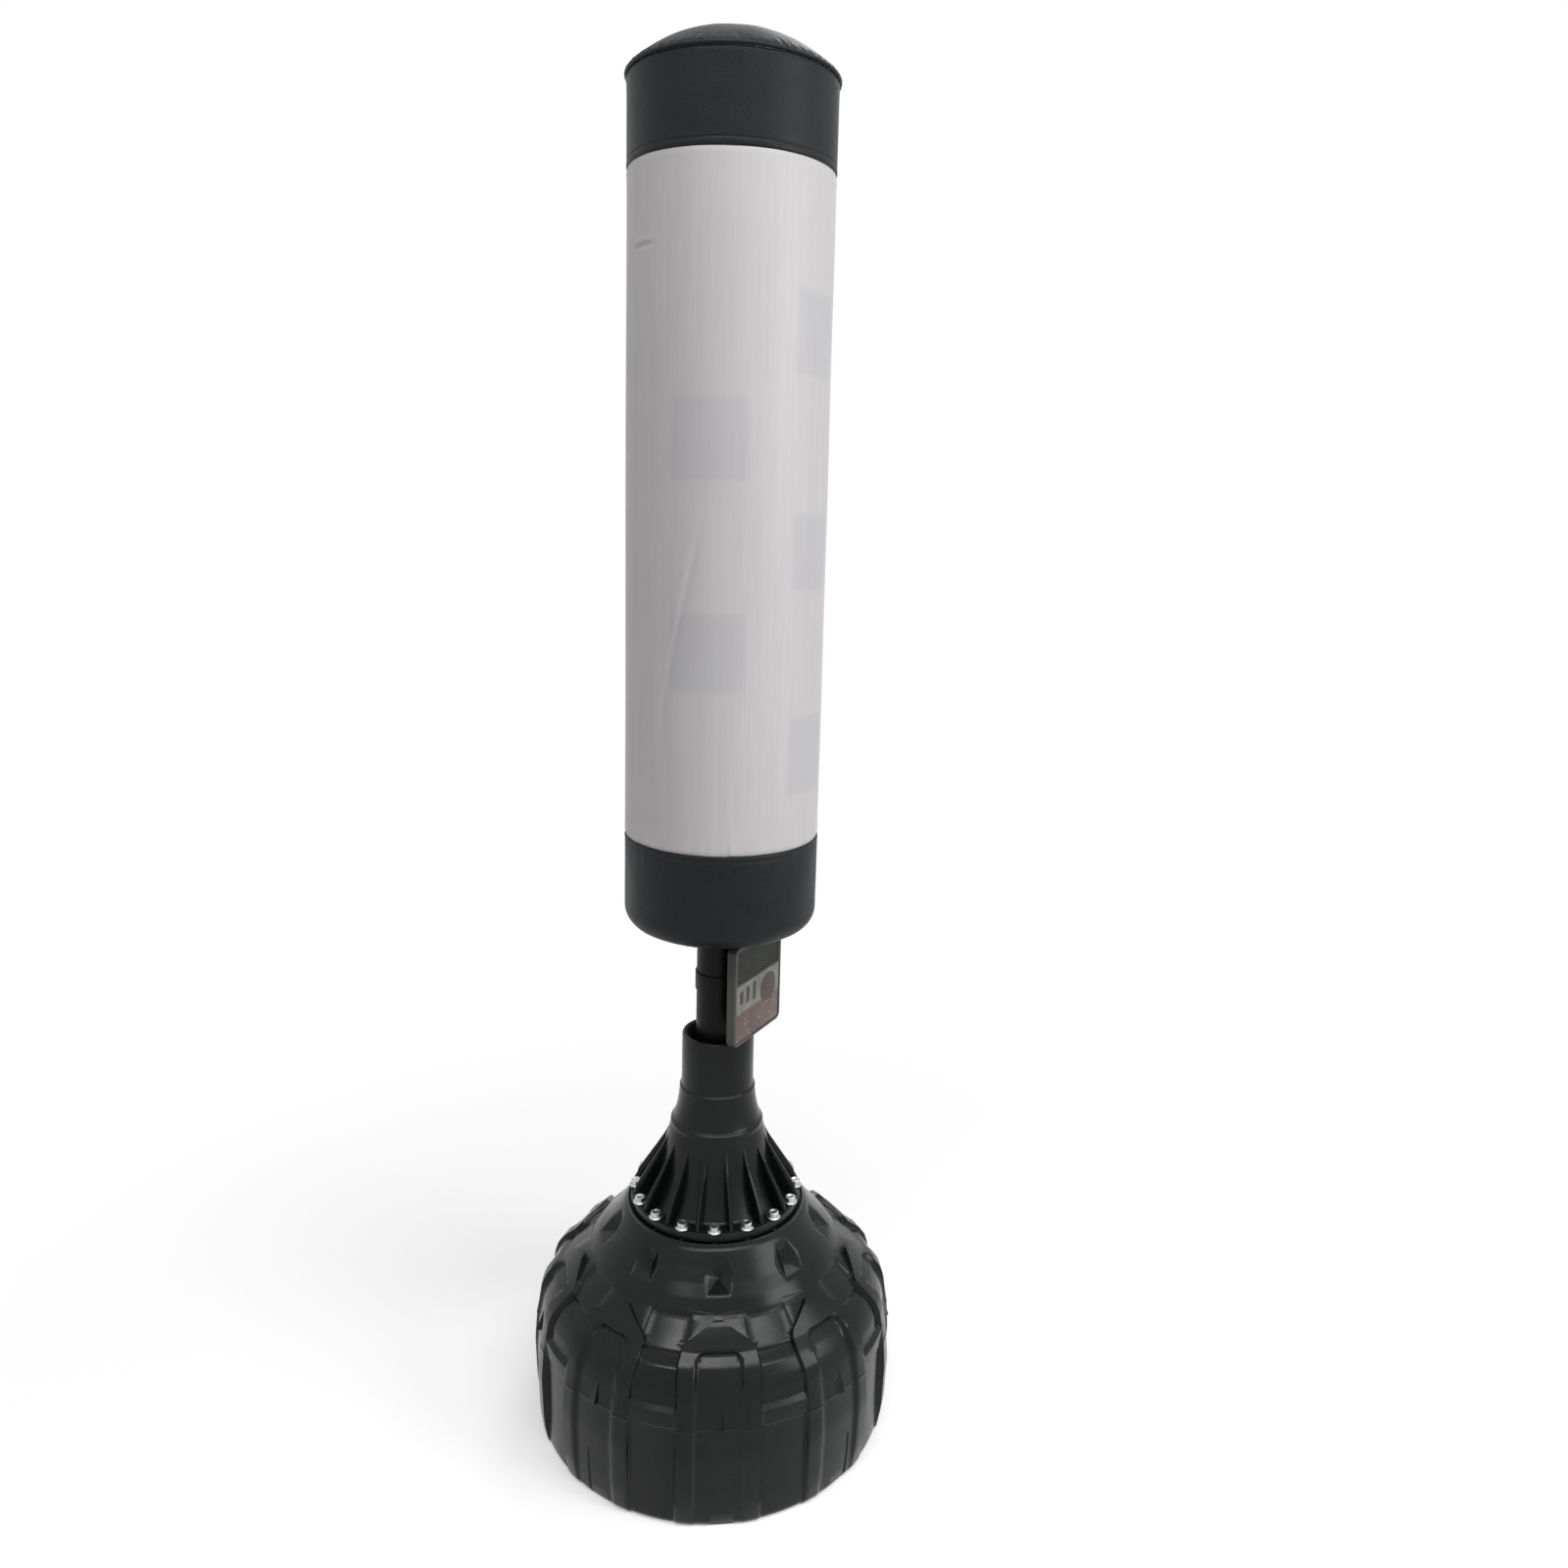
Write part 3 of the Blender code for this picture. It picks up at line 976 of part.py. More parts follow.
def build():
    clear_scene()
    tank_plastic = make_material("tank_polyethylene", "33373a", 0.45)
    neck_plastic = make_material("neck_nylon", "2c2f31", 0.42)
    black_plastic = make_material("black_plastic", "26282a", 0.5)
    rubber = make_material("black_rubber", "1c1c1d", 0.8)
    zinc = make_material("zinc_plated_steel", "c9ccce", 0.3, 0.9)
    dark_steel = make_material("black_painted_steel", "1d1e20", 0.4, 0.1)
    spring_steel = make_material("spring_steel", "5a5c5e", 0.35, 0.9)
    leather = make_material("black_coated_leather", "2a2e30", 0.55)
    satin = make_material("pale_satin", "cdcbcd", 0.6)
    foam = make_material("pale_foam", "d8d8d2", 0.9)
    felt = make_material("grey_felt", "8d8f90", 0.95)
    pvc = make_material("grey_pvc", "8a8d8f", 0.5)
    tape = make_material("woven_zip_tape", "232425", 0.85)
    metal = make_material("die_cast_zinc", "6d6f71", 0.35, 0.9)
    panel_plastic = make_material("grey_panel_plastic", "6a6d6b", 0.5)
    panel_face = make_material("printed_panel_face", "9b9a94", 0.5)
    panel_grille = make_material("dark_grille", "4a4b49", 0.6)

    first_tilt = add_empty("tilt_front_pivot", (0, 0, PIVOT_Z))
    second_tilt = add_empty("tilt_side_pivot", (0, 0, PIVOT_Z), first_tilt)
    filler_place = filler_matrix().translation
    lift = add_empty("filler_lift", filler_place)
    turn = add_empty("filler_turn", filler_place, lift)
    slide = add_empty("zip_slide", (0, PULL_AXIS_OUT, PULL_AXIS_Z), second_tilt)
    swing = add_empty("zip_swing", (0, PULL_AXIS_OUT, PULL_AXIS_Z), slide)

    make_tank(tank_plastic)
    make_filler(black_plastic, black_plastic, rubber, lift, turn)
    make_flange_stack(rubber, dark_steel, zinc)
    make_neck(neck_plastic, rubber)
    make_spring(dark_steel, spring_steel, rubber, first_tilt, second_tilt)
    make_post(dark_steel, black_plastic, second_tilt)
    make_bag(leather, satin, foam, felt, pvc, leather, second_tilt)
    make_zip(tape, metal, second_tilt, slide, swing)
    make_panel(panel_plastic, panel_face, panel_grille, dark_steel, second_tilt)


build()
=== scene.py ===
"""Free-standing punching bag: a blow-moulded base, a bolted neck, a sprung post and a padded, sewn bag."""

import math

import bmesh
import bpy
import numpy as np
from mathutils import Matrix, Vector


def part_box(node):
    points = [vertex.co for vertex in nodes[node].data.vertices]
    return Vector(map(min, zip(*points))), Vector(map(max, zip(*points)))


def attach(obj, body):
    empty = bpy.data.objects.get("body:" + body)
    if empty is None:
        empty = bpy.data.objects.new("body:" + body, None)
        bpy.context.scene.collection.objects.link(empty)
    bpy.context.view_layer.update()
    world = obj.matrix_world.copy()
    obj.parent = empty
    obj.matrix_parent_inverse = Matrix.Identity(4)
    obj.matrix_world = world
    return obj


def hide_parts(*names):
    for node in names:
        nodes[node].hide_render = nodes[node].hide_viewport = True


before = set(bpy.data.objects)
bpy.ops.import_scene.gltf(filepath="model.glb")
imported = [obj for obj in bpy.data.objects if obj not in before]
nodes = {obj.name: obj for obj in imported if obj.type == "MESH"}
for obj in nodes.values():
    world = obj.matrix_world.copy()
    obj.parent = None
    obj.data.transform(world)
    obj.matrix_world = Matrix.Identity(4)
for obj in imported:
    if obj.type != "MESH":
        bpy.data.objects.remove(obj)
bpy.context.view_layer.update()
scene = bpy.context.scene
scene.view_settings.view_transform = "Standard"

# Camera
# Stands at chest height, a metre and a half in front of the bag and a little to the right of its middle.
# It is tipped down and slightly over, as the photograph was taken.
IMAGE_SIDE = 1600
FOCAL_PIXELS, MIDDLE_ROW = 1225, 731
CAMERA_PLACE = (0.0783, -1.527, 1.2415)
TIPPED_DOWN, TIPPED_OVER = 9.8, 1.43
camera_data = bpy.data.cameras.new("photo_camera")
camera_data.sensor_width = 36.0
camera_data.lens = FOCAL_PIXELS / IMAGE_SIDE * camera_data.sensor_width
camera_data.shift_y = (MIDDLE_ROW - IMAGE_SIDE / 2) / IMAGE_SIDE
camera = bpy.data.objects.new("photo_camera", camera_data)
scene.collection.objects.link(camera)
looking_down = Matrix.Rotation(math.radians(90 - TIPPED_DOWN), 4, "X")
camera.matrix_world = (Matrix.Translation(CAMERA_PLACE) @ looking_down
                       @ Matrix.Rotation(math.radians(TIPPED_OVER), 4, "Z"))
scene.camera = camera


# Floor, backdrop and light
# A pale studio floor under a white surround. A long softbox hangs across the front, high up, where the
# base's facets mirror it. A window stands on the right, a weak lamp on the left and one behind, which draws
# the rims.
def linear(hex_code):
    """The linear colour of an sRGB hex value."""
    parts = [int(hex_code[i:i + 2], 16) / 255 for i in (0, 2, 4)]
    return (*[c / 12.92 if c <= 0.04045 else ((c + 0.055) / 1.055) ** 2.4 for c in parts], 1.0)


def put(tree, kind, feeds=None, **settings):
    """Adds a node with its settings, and feeds its sockets, by name or number, from nodes or plain values."""
    node = tree.nodes.new(kind)
    for name, value in settings.items():
        setattr(node, name, value)
    for name, value in (feeds or {}).items():
        socket = node.inputs[name]
        if isinstance(value, bpy.types.NodeSocket):
            tree.links.new(value, socket)
        else:
            socket.default_value = value
    return node


WHITE = (1.0, 1.0, 1.0, 1.0)
FLOOR_REACH = 30
FLOOR_GLOW = 0.42
# How far from the bag's foot the floor begins and ends its fade to the white of the surround.
SHADOW_ENDS = (0.45, 1.3)
AMBIENT = 0.14

world = bpy.data.worlds.new("studio")
world.use_nodes = True
scene.world = world
sky = world.node_tree
sky.nodes.clear()


def seen_share(tree):
    """One for rays from the camera, reflections and refractions, none for the light that falls on the bag."""
    ray = put(tree, "ShaderNodeLightPath").outputs
    share = ray["Is Camera Ray"]
    for kind in ("Is Glossy Ray", "Is Transmission Ray"):
        share = put(tree, "ShaderNodeMath", {0: share, 1: ray[kind]}, operation="MAXIMUM").outputs[0]
    return share


ambient = put(sky, "ShaderNodeBackground", {"Color": WHITE, "Strength": AMBIENT})
surround = put(sky, "ShaderNodeBackground", {"Color": WHITE, "Strength": 1.0})
sky_mix = put(sky, "ShaderNodeMixShader", {0: seen_share(sky), 1: ambient.outputs[0], 2: surround.outputs[0]})
put(sky, "ShaderNodeOutputWorld", {"Surface": sky_mix.outputs[0]})

floor_mesh = bpy.data.meshes.new("studio_floor")
floor_corners = ((-1, -1), (1, -1), (1, 1), (-1, 1))
floor_mesh.from_pydata([(x * FLOOR_REACH, y * FLOOR_REACH, 0) for x, y in floor_corners], [], [(0, 1, 2, 3)])
floor_paint = bpy.data.materials.new("pale_floor_paint")
floor_paint.use_nodes = True
tree = floor_paint.node_tree
tree.nodes.clear()
matt = put(tree, "ShaderNodeBsdfDiffuse", {"Color": linear("e8e8e8")})
glow = put(tree, "ShaderNodeEmission", {"Color": WHITE, "Strength": FLOOR_GLOW})
lit = put(tree, "ShaderNodeAddShader", {0: matt.outputs[0], 1: glow.outputs[0]})
white = put(tree, "ShaderNodeEmission", {"Color": WHITE, "Strength": 1.0})
spot = put(tree, "ShaderNodeTexCoord").outputs["Object"]
away = put(tree, "ShaderNodeVectorMath", {0: spot}, operation="LENGTH").outputs["Value"]
fade = put(tree, "ShaderNodeMapRange",
           {"Value": away, "From Min": SHADOW_ENDS[0], "From Max": SHADOW_ENDS[1]},
           interpolation_type="SMOOTHSTEP").outputs[0]
shown = put(tree, "ShaderNodeMixShader", {0: fade, 1: lit.outputs[0], 2: white.outputs[0]})
floor_mix = put(tree, "ShaderNodeMixShader", {0: seen_share(tree), 1: matt.outputs[0], 2: shown.outputs[0]})
put(tree, "ShaderNodeOutputMaterial", {"Surface": floor_mix.outputs[0]})
floor_mesh.materials.append(floor_paint)
floor = bpy.data.objects.new("studio_floor", floor_mesh)
scene.collection.objects.link(floor)

# Each lamp's name, its place and aim in metres, its width and height, and its power in watts.
LAMPS = (("strip_softbox", (0.3, -1.78, 4.03), (0.0, -0.17, 0.24), 4.7, 0.52, 104.0),
         ("window_lamp", (2.5, -1.1, 1.7), (0.0, 0.0, 0.7), 1.2, 1.6, 38.0),
         ("fill_lamp", (-2.4, -1.6, 1.6), (0.0, 0.0, 0.8), 1.6, 1.6, 1.0),
         ("rim_lamp", (0.6, 1.8, 3.0), (0.0, 0.0, 0.9), 1.2, 1.2, 14.0))
for name, place, aim, wide, high, power in LAMPS:
    lamp_data = bpy.data.lights.new(name, "AREA")
    lamp_data.shape = "RECTANGLE"
    lamp_data.size = wide
    lamp_data.size_y = high
    lamp_data.energy = power
    lamp = bpy.data.objects.new(name, lamp_data)
    scene.collection.objects.link(lamp)
    lamp.location = place
    lamp.rotation_euler = (Vector(aim) - Vector(place)).to_track_quat("-Z", "Y").to_euler()


# Base tank
# One hollow blow-moulded shell of black high-density polyethylene, filled with water or sand. Nine ribbed
# lugs run down its side, each with a sunk panel under a pointed hood, and nine six-sided pockets are pressed
# into its cone.
def material(name, hex_code, roughness, **sockets):
    """Starts a finish: its material, tree and shader, and the object's own coordinates."""
    made = bpy.data.materials.new(name)
    made.use_nodes = True
    tree = made.node_tree
    shader = tree.nodes["Principled BSDF"]
    shader.inputs["Base Color"].default_value = linear(hex_code)
    shader.inputs["Roughness"].default_value = roughness
    for socket, value in sockets.items():
        shader.inputs[socket.replace("_", " ")].default_value = value
    return made, tree, shader, put(tree, "ShaderNodeTexCoord").outputs["Object"]


def noise(tree, place, size_mm, detail=2.0, rough=0.5, stretch=(1.0, 1.0, 1.0)):
    """Cloudy noise with spots of about this size, drawn out by these factors along the axes."""
    if stretch != (1.0, 1.0, 1.0):
        place = put(tree, "ShaderNodeMapping",
                    {"Vector": place, "Scale": [1 / s for s in stretch]}).outputs[0]
    return put(tree, "ShaderNodeTexNoise", {"Vector": place, "Scale": 1000 / size_mm, "Detail": detail,
                                            "Roughness": rough}).outputs["Fac"]


def span(tree, value, low, high, to_low, to_high):
    """Maps one range of a value onto another, held at its ends."""
    return put(tree, "ShaderNodeMapRange", {"Value": value, "From Min": low, "From Max": high,
                                            "To Min": to_low, "To Max": to_high}).outputs[0]


def blended(tree, share, first, second):
    """Two colours mixed by a share, each a socket or a hex value."""
    mix = put(tree, "ShaderNodeMix", data_type="RGBA", blend_type="MIX")
    for socket, value in ((mix.inputs[0], share), (mix.inputs[6], first), (mix.inputs[7], second)):
        if isinstance(value, bpy.types.NodeSocket):
            tree.links.new(value, socket)
        else:
            socket.default_value = linear(value) if isinstance(value, str) else value
    return mix.outputs[2]


def bump(tree, shader, height, depth_mm, below=None):
    """Relief of this depth on the shader, over any relief already there."""
    feeds = {"Height": height, "Distance": depth_mm / 1000}
    if below:
        feeds["Normal"] = below
    made = put(tree, "ShaderNodeBump", feeds).outputs[0]
    tree.links.new(made, shader.inputs["Normal"])
    return made


def moulded_plastic(name, dark, pale, roughness, grain_mm, upward_grey, gloss=0.2):
    """Moulded plastic: uneven tone, a fine pebble grain, a speckled paler grey on its upward faces and faint
    scuffs.
    """
    made, tree, shader, place = material(name, dark, roughness, IOR=1.5, Specular_IOR_Level=gloss)
    cloud = noise(tree, place, 90.0, 4.0)
    streak = noise(tree, place, 22.0, 3.0, 0.6, (1.0, 1.0, 7.0))
    tone = span(tree, cloud, 0.35, 0.68, 0.0, 1.0)
    colour = blended(tree, tone, dark, pale)
    colour = blended(tree, span(tree, streak, 0.52, 0.75, 0.0, 0.35), colour, pale)
    # Faces that point up turn a speckled paler grey, more so the more they face up.
    facing = put(tree, "ShaderNodeSeparateXYZ",
                 {0: put(tree, "ShaderNodeNewGeometry").outputs["Normal"]}).outputs[2]
    upward = span(tree, facing, 0.15, 0.95, 0.0, upward_grey)
    speckle = span(tree, noise(tree, place, 3.0, 2.0, 0.7), 0.42, 0.7, 0.35, 1.0)
    paler_share = put(tree, "ShaderNodeMath", {0: upward, 1: speckle}, operation="MULTIPLY").outputs[0]
    colour = blended(tree, paler_share, colour, "8a8c88")
    tree.links.new(colour, shader.inputs["Base Color"])
    scuff = span(tree, noise(tree, place, 6.0, 4.0, 0.75, (1.0, 1.0, 0.35)), 0.6, 0.72, 0.0, 0.10)
    dull = put(tree, "ShaderNodeMath", {0: span(tree, cloud, 0.3, 0.7, roughness - 0.05, roughness + 0.06),
                                        1: scuff}, operation="ADD").outputs[0]
    tree.links.new(dull, shader.inputs["Roughness"])
    grain = put(tree, "ShaderNodeTexVoronoi", {"Vector": place, "Scale": 1000 / grain_mm}).outputs["Distance"]
    first = bump(tree, shader, grain, 0.05)
    bump(tree, shader, noise(tree, place, 45.0, 1.5), 0.5, first)
    return made


def smoothed(mesh, sharp_angle=32.0):
    """Shades a mesh smooth but for the edges that bend more than this many degrees."""
    mesh.shade_smooth()
    mesh.set_sharp_from_angle(angle=math.radians(sharp_angle))


def mesh_from(name, points, faces, sharp_angle=32.0, hold_faces=False):
    """A tidy mesh: doubles merged, faces pointing out, smooth but for its sharp edges."""
    bm = bmesh.new()
    verts = [bm.verts.new(p) for p in points]
    for face in faces:
        corners = [verts[i] for i in face]
        if len(set(corners)) == len(corners):
            bm.faces.new(corners)
    bmesh.ops.remove_doubles(bm, verts=bm.verts, dist=2e-6)
    bmesh.ops.dissolve_degenerate(bm, edges=bm.edges, dist=1e-6)
    if not hold_faces:
        bmesh.ops.recalc_face_normals(bm, faces=bm.faces)
    mesh = bpy.data.meshes.new(name)
    bm.to_mesh(mesh)
    bm.free()
    smoothed(mesh, sharp_angle)
    return mesh


def grid_faces(rows, columns, round_trip=True, first=0, rows_too=False):
    """Faces of a grid of points, its columns closed into a ring or not, and its rows too or not."""
    faces = []
    for i in range(rows - 1):
        for j in range(columns if round_trip else columns - 1):
            k = (j + 1) % columns
            faces.append((first + i * columns + j, first + i * columns + k,
                          first + (i + 1) * columns + k, first + (i + 1) * columns + j))
    if rows_too:
        last = (rows - 1) * columns
        faces += [(last + j, last + (j + 1) % columns, (j + 1) % columns, j) for j in range(columns)]
    return faces


def piece(name, mesh, finish, body, slot, *replaced):
    """Puts a finished mesh in the scene as a piece of the bag."""
    obj = bpy.data.objects.new(name, mesh)
    scene.collection.objects.link(obj)
    mesh.materials.clear()
    mesh.materials.append(finish)
    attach(obj, body)
    if replaced:
        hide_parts(*replaced)
    return obj


def new_tree(name, sizes):
    """A Geometry Nodes tree with these named sizes, and the node that hands them on."""
    tree = bpy.data.node_groups.new(name, "GeometryNodeTree")
    tree.interface.new_socket("Geometry", in_out="INPUT", socket_type="NodeSocketGeometry")
    tree.interface.new_socket("Geometry", in_out="OUTPUT", socket_type="NodeSocketGeometry")
    for label, kind in sizes:
        tree.interface.new_socket(label, in_out="INPUT", socket_type=f"NodeSocket{kind}")
    return tree, tree.nodes.new("NodeGroupInput").outputs


def ended(tree, instances, finish, weld=None):
    """Ends a tree: its instances made real, joined where they meet if asked, and given their finish."""
    solid = put(tree, "GeometryNodeRealizeInstances", {0: instances})
    if weld is not None:
        solid = put(tree, "GeometryNodeMergeByDistance", {"Geometry": solid.outputs[0], "Distance": weld})
    painted = put(tree, "GeometryNodeSetMaterial", {"Geometry": solid.outputs[0], "Material": finish})
    put(tree, "NodeGroupOutput", {"Geometry": painted.outputs[0]})


def plain_mesh(obj):
    """The mesh of an object with its modifiers applied."""
    return bpy.data.meshes.new_from_object(obj.evaluated_get(bpy.context.evaluated_depsgraph_get()))


def grown(tree, mesh, **values):
    """The plain mesh that a tree makes from a starting mesh with these sizes."""
    start = bpy.data.objects.new("start", mesh)
    scene.collection.objects.link(start)
    modifier = start.modifiers.new(tree.name, "NODES")
    modifier.node_group = tree
    for item in tree.interface.items_tree:
        if item.in_out == "INPUT" and item.name.lower() in values:
            modifier[item.identifier] = values[item.name.lower()]
    made = plain_mesh(start)
    bpy.data.objects.remove(start)
    return made


# Copies of the starting mesh, turned about the bag's axis and joined where they meet.
round_tree, given = new_tree("turned_copies", (("Count", "Int"), ("First", "Float"), ("Weld", "Float"),
                                               ("Finish", "Material")))
points = put(round_tree, "GeometryNodeMeshLine", {"Count": given["Count"], "Offset": (0.0, 0.0, 0.0)})
number = put(round_tree, "GeometryNodeInputIndex")
step = put(round_tree, "ShaderNodeMath", {0: math.tau, 1: given["Count"]}, operation="DIVIDE")
turn = put(round_tree, "ShaderNodeMath", {0: number.outputs[0], 1: step.outputs[0], 2: given["First"]},
           operation="MULTIPLY_ADD")
about_z = put(round_tree, "ShaderNodeCombineXYZ", {"Z": turn.outputs[0]})
copies = put(round_tree, "GeometryNodeInstanceOnPoints",
             {"Points": points.outputs[0], "Instance": given["Geometry"], "Rotation": about_z.outputs[0]})
ended(round_tree, copies.outputs[0], given["Finish"], given["Weld"])

# The azimuths of the lugs and the widths of the walls of their ribs, panels and plates are in degrees.
LUGS = 9
LUG_PITCH = 360 / LUGS
FIRST_LUG = 5.0
WALL = 0.9
PANEL_WALL = 1.5
PLATE_EDGE, PLATE_WALL = 10.5, 1.5
# Rows of the side, bottom to top, in mm: the gap, rib, sunk panel and plate as radius and height, then the
# half widths of the rib and of the panel in degrees, and how far the corner is rounded.
SIDE = (
    (232.0, 0.0, 233.8, 0.0, 232.8, 0.0, 232.0, 0.0, 12.3, 7.9, 0.0),
    (237.6, 6.5, 239.6, 7.0, 238.2, 6.8, 237.6, 6.5, 12.3, 7.9, 4.0),
    (238.6, 38.0, 245.0, 38.0, 241.2, 38.0, 238.6, 38.0, 12.3, 7.9, 12.0),
    (239.8, 100.1, 247.6, 100.1, 243.2, 100.1, 239.8, 100.1, 12.3, 7.9, 8.0),
    (240.2, 136.6, 245.0, 136.6, 240.6, 136.6, 240.2, 136.6, 12.3, 7.9, 0.8),
    (241.2, 138.2, 245.4, 138.0, 241.0, 138.0, 241.2, 138.2, 12.3, 7.9, 0.6),
    (241.2, 140.2, 244.4, 140.4, 240.2, 140.4, 241.2, 140.2, 12.3, 7.9, 1.0),
    (241.6, 156.9, 241.8, 157.0, 237.2, 157.0, 241.6, 156.9, 12.3, 7.9, 0.9),
    (235.2, 162.2, 240.8, 163.5, 236.0, 163.5, 235.2, 162.2, 12.3, 7.9, 0.8),
    (233.0, 178.2, 238.8, 177.9, 233.0, 176.4, 233.0, 178.2, 12.3, 7.9, 5.0),
    (227.4, 190.4, 233.5, 191.9, 226.8, 189.4, 227.4, 190.4, 12.6, 7.9, 4.0),
    (219.4, 202.0, 223.0, 205.5, 218.6, 202.0, 219.4, 202.0, 13.1, 8.1, 5.0),
    (211.6, 206.1, 214.6, 211.9, 211.9, 207.2, 211.6, 206.1, 13.0, 8.3, 0.5),
    (204.4, 210.0, 210.4, 215.1, 206.8, 211.3, 204.4, 210.0, 12.9, 7.4, 0.5),
    (203.7, 213.0, 208.0, 217.0, 204.3, 212.4, 203.7, 213.0, 12.9, 6.6, 0.7),
    (202.4, 214.5, 205.6, 219.5, 205.6, 219.5, 202.4, 214.5, 12.8, 5.8, 1.3),
    (199.6, 216.9, 201.3, 223.9, 201.3, 223.9, 199.6, 216.9, 12.1, 5.6, 1.2),
    (196.6, 219.4, 198.1, 227.3, 198.1, 227.3, 195.4, 224.0, 10.4, 5.4, 0.6),
    (192.4, 222.9, 193.9, 231.6, 193.9, 231.6, 191.0, 227.5, 8.1, 5.0, 1.0),
    (185.3, 228.8, 187.4, 238.0, 187.4, 238.0, 183.3, 233.4, 4.4, 3.6, 1.0),
    (180.6, 232.7, 182.4, 242.2, 182.4, 242.2, 178.6, 237.0, 1.6, 1.0, 0.4),
    (176.2, 236.4, 176.4, 238.8, 176.4, 238.8, 176.0, 239.0, 1.0, 0.6, 0.4),
    (172.9, 239.6, 172.4, 242.2, 172.4, 242.2, 172.4, 242.2, 1.0, 0.6, 0.4),
    (171.6, 242.2, 171.2, 243.3, 171.2, 243.3, 171.2, 243.3, 1.0, 0.6, 0.4),
    (170.4, 244.5, 170.4, 244.5, 170.4, 244.5, 170.4, 244.5, 1.0, 0.6, 2.0),
)
# The cone, the lip round its mouth, the wall inside and the underside, as radius and height in mm.
CONE = ((170.4, 244.5), (160.6, 256.5), (147.5, 270.0), (136.2, 283.5), (128.5, 294.0), (124.5, 299.2),
        (121.6, 301.4))
MOUTH = ((121.3, 304.8), (120.5, 306.0), (118.8, 306.0), (118.0, 303.0), (88.0, 303.0), (88.0, 284.5),
         (130.0, 266.0), (164.0, 232.0), (193.0, 203.0), (222.0, 187.0), (231.0, 150.0), (232.0, 30.0),
         (219.0, 10.0), (0.0, 10.0))
UNDERSIDE = ((0.0, 6.0), (212.0, 6.0), (215.0, 0.0), (228.0, 0.0))
# How many columns lie in each zone of half a lug: panel, its wall, rib, its wall, plate, its wall, gap.
ZONES = (6, 4, 3, 4, 2, 3, 3)
# Each pocket's half width in degrees, its half height, depth and middle's height in mm, its width at the top
# and foot as shares of the whole, how soft its rim is, and the way it is pressed in, inwards and down.
POCKET_HALF = 8.2
POCKET_REACH = 17.6
POCKET_DEPTH = 14.0
POCKET_MIDDLE = 276.8
POCKET_TOP, POCKET_FOOT = 0.52, 0.74
POCKET_RIM = 0.12
POCKET_IN, POCKET_DOWN = 0.73, 0.69


def rounded_rows(rows, cuts, longest, steps=3):
    """Rows of numbers with each corner between them rounded off, and long spans divided."""
    rows = [np.array(row, float) for row in rows]
    out = [rows[0]]

    def run(a, b):
        """The longest of the moves of the gap, the rib and the panel between two rows."""
        return max(np.hypot(a[i] - b[i], a[i + 1] - b[i + 1]) for i in (0, 2, 4))

    ends = [rows[0]]
    for before, here, after, cut in zip(rows, rows[1:], rows[2:], cuts[1:]):
        back, ahead = run(before, here), run(here, after)
        start = here + (before - here) * min(cut / back, 0.45)
        stop = here + (after - here) * min(cut / ahead, 0.45)
        ends.append([start, here, stop])
    ends.append(rows[-1])
    for corner in ends[1:]:
        start = corner[0] if isinstance(corner, list) else corner
        pieces = max(1, int(run(out[-1], start) / longest))
        last = out[-1]
        out += [last + (start - last) * i / pieces for i in range(1, pieces + 1)]
        if isinstance(corner, list):
            for i in range(1, steps + 1):
                t = i / steps
                out.append(corner[0] * (1 - t) ** 2 + corner[1] * 2 * t * (1 - t) + corner[2] * t * t)
    return out


def smooth_share(value):
    """A share held between none and one, that starts and ends gently."""
    value = np.clip(value, 0.0, 1.0)
    return value * value * (3 - 2 * value)


def zone_columns(marks):
    """Azimuths from the lug's middle to its gap, spread over the zones between these marks."""
    out = [marks[0]]
    for low, high, count in zip(marks, marks[1:], ZONES):
        out += [low + (high - low) * i / count for i in range(1, count + 1)]
    return np.array(out)


def side_row(row):
    """Radii, azimuths and heights of half a lug at one row."""
    gap, rib, panel, plate = row[0:2], row[2:4], row[4:6], row[6:8]
    half, inner = row[8], row[9]
    foot = half + WALL
    edge = max(PLATE_EDGE, foot + 0.2)
    low = max(inner - PANEL_WALL, inner / 2)
    a = zone_columns((0.0, low, inner, half, foot, edge, edge + PLATE_WALL, LUG_PITCH / 2))
    shares = [smooth_share((a - start) / width)[:, None]
              for start, width in ((low, inner - low), (half, WALL), (edge, PLATE_WALL))]
    place = np.repeat(panel[None, :], len(a), 0)
    for share, target in zip(shares, (rib, plate, gap)):
        place = place + (target[None, :] - place) * share
    return place[:, 0], a, place[:, 1]


def cone_row(radius, height):
    """Half a lug's columns on the cone. In the pocket they follow its creases: a six-sided, pointed pit."""
    rise = (height - POCKET_MIDDLE) / POCKET_REACH
    reach, end = min(abs(rise), 1.0), POCKET_TOP if rise > 0 else POCKET_FOOT
    width, crease = POCKET_HALF * (1 - (1 - end) * reach), POCKET_HALF * end * reach
    a = np.concatenate([np.linspace(0.0, crease, ZONES[0] + 1)[:-1],
                        np.linspace(crease, width, ZONES[1] + 1),
                        np.linspace(width, LUG_PITCH / 2, sum(ZONES[2:]) + 1)[1:]])
    share = np.clip(np.minimum(1 - abs(rise), (width - a) / POCKET_HALF), 0.0, 1.0)
    depth = POCKET_DEPTH * np.where(share < POCKET_RIM, share ** 2 / (2 * POCKET_RIM), share - POCKET_RIM / 2)
    return radius - POCKET_IN * depth, a, height - POCKET_DOWN * depth


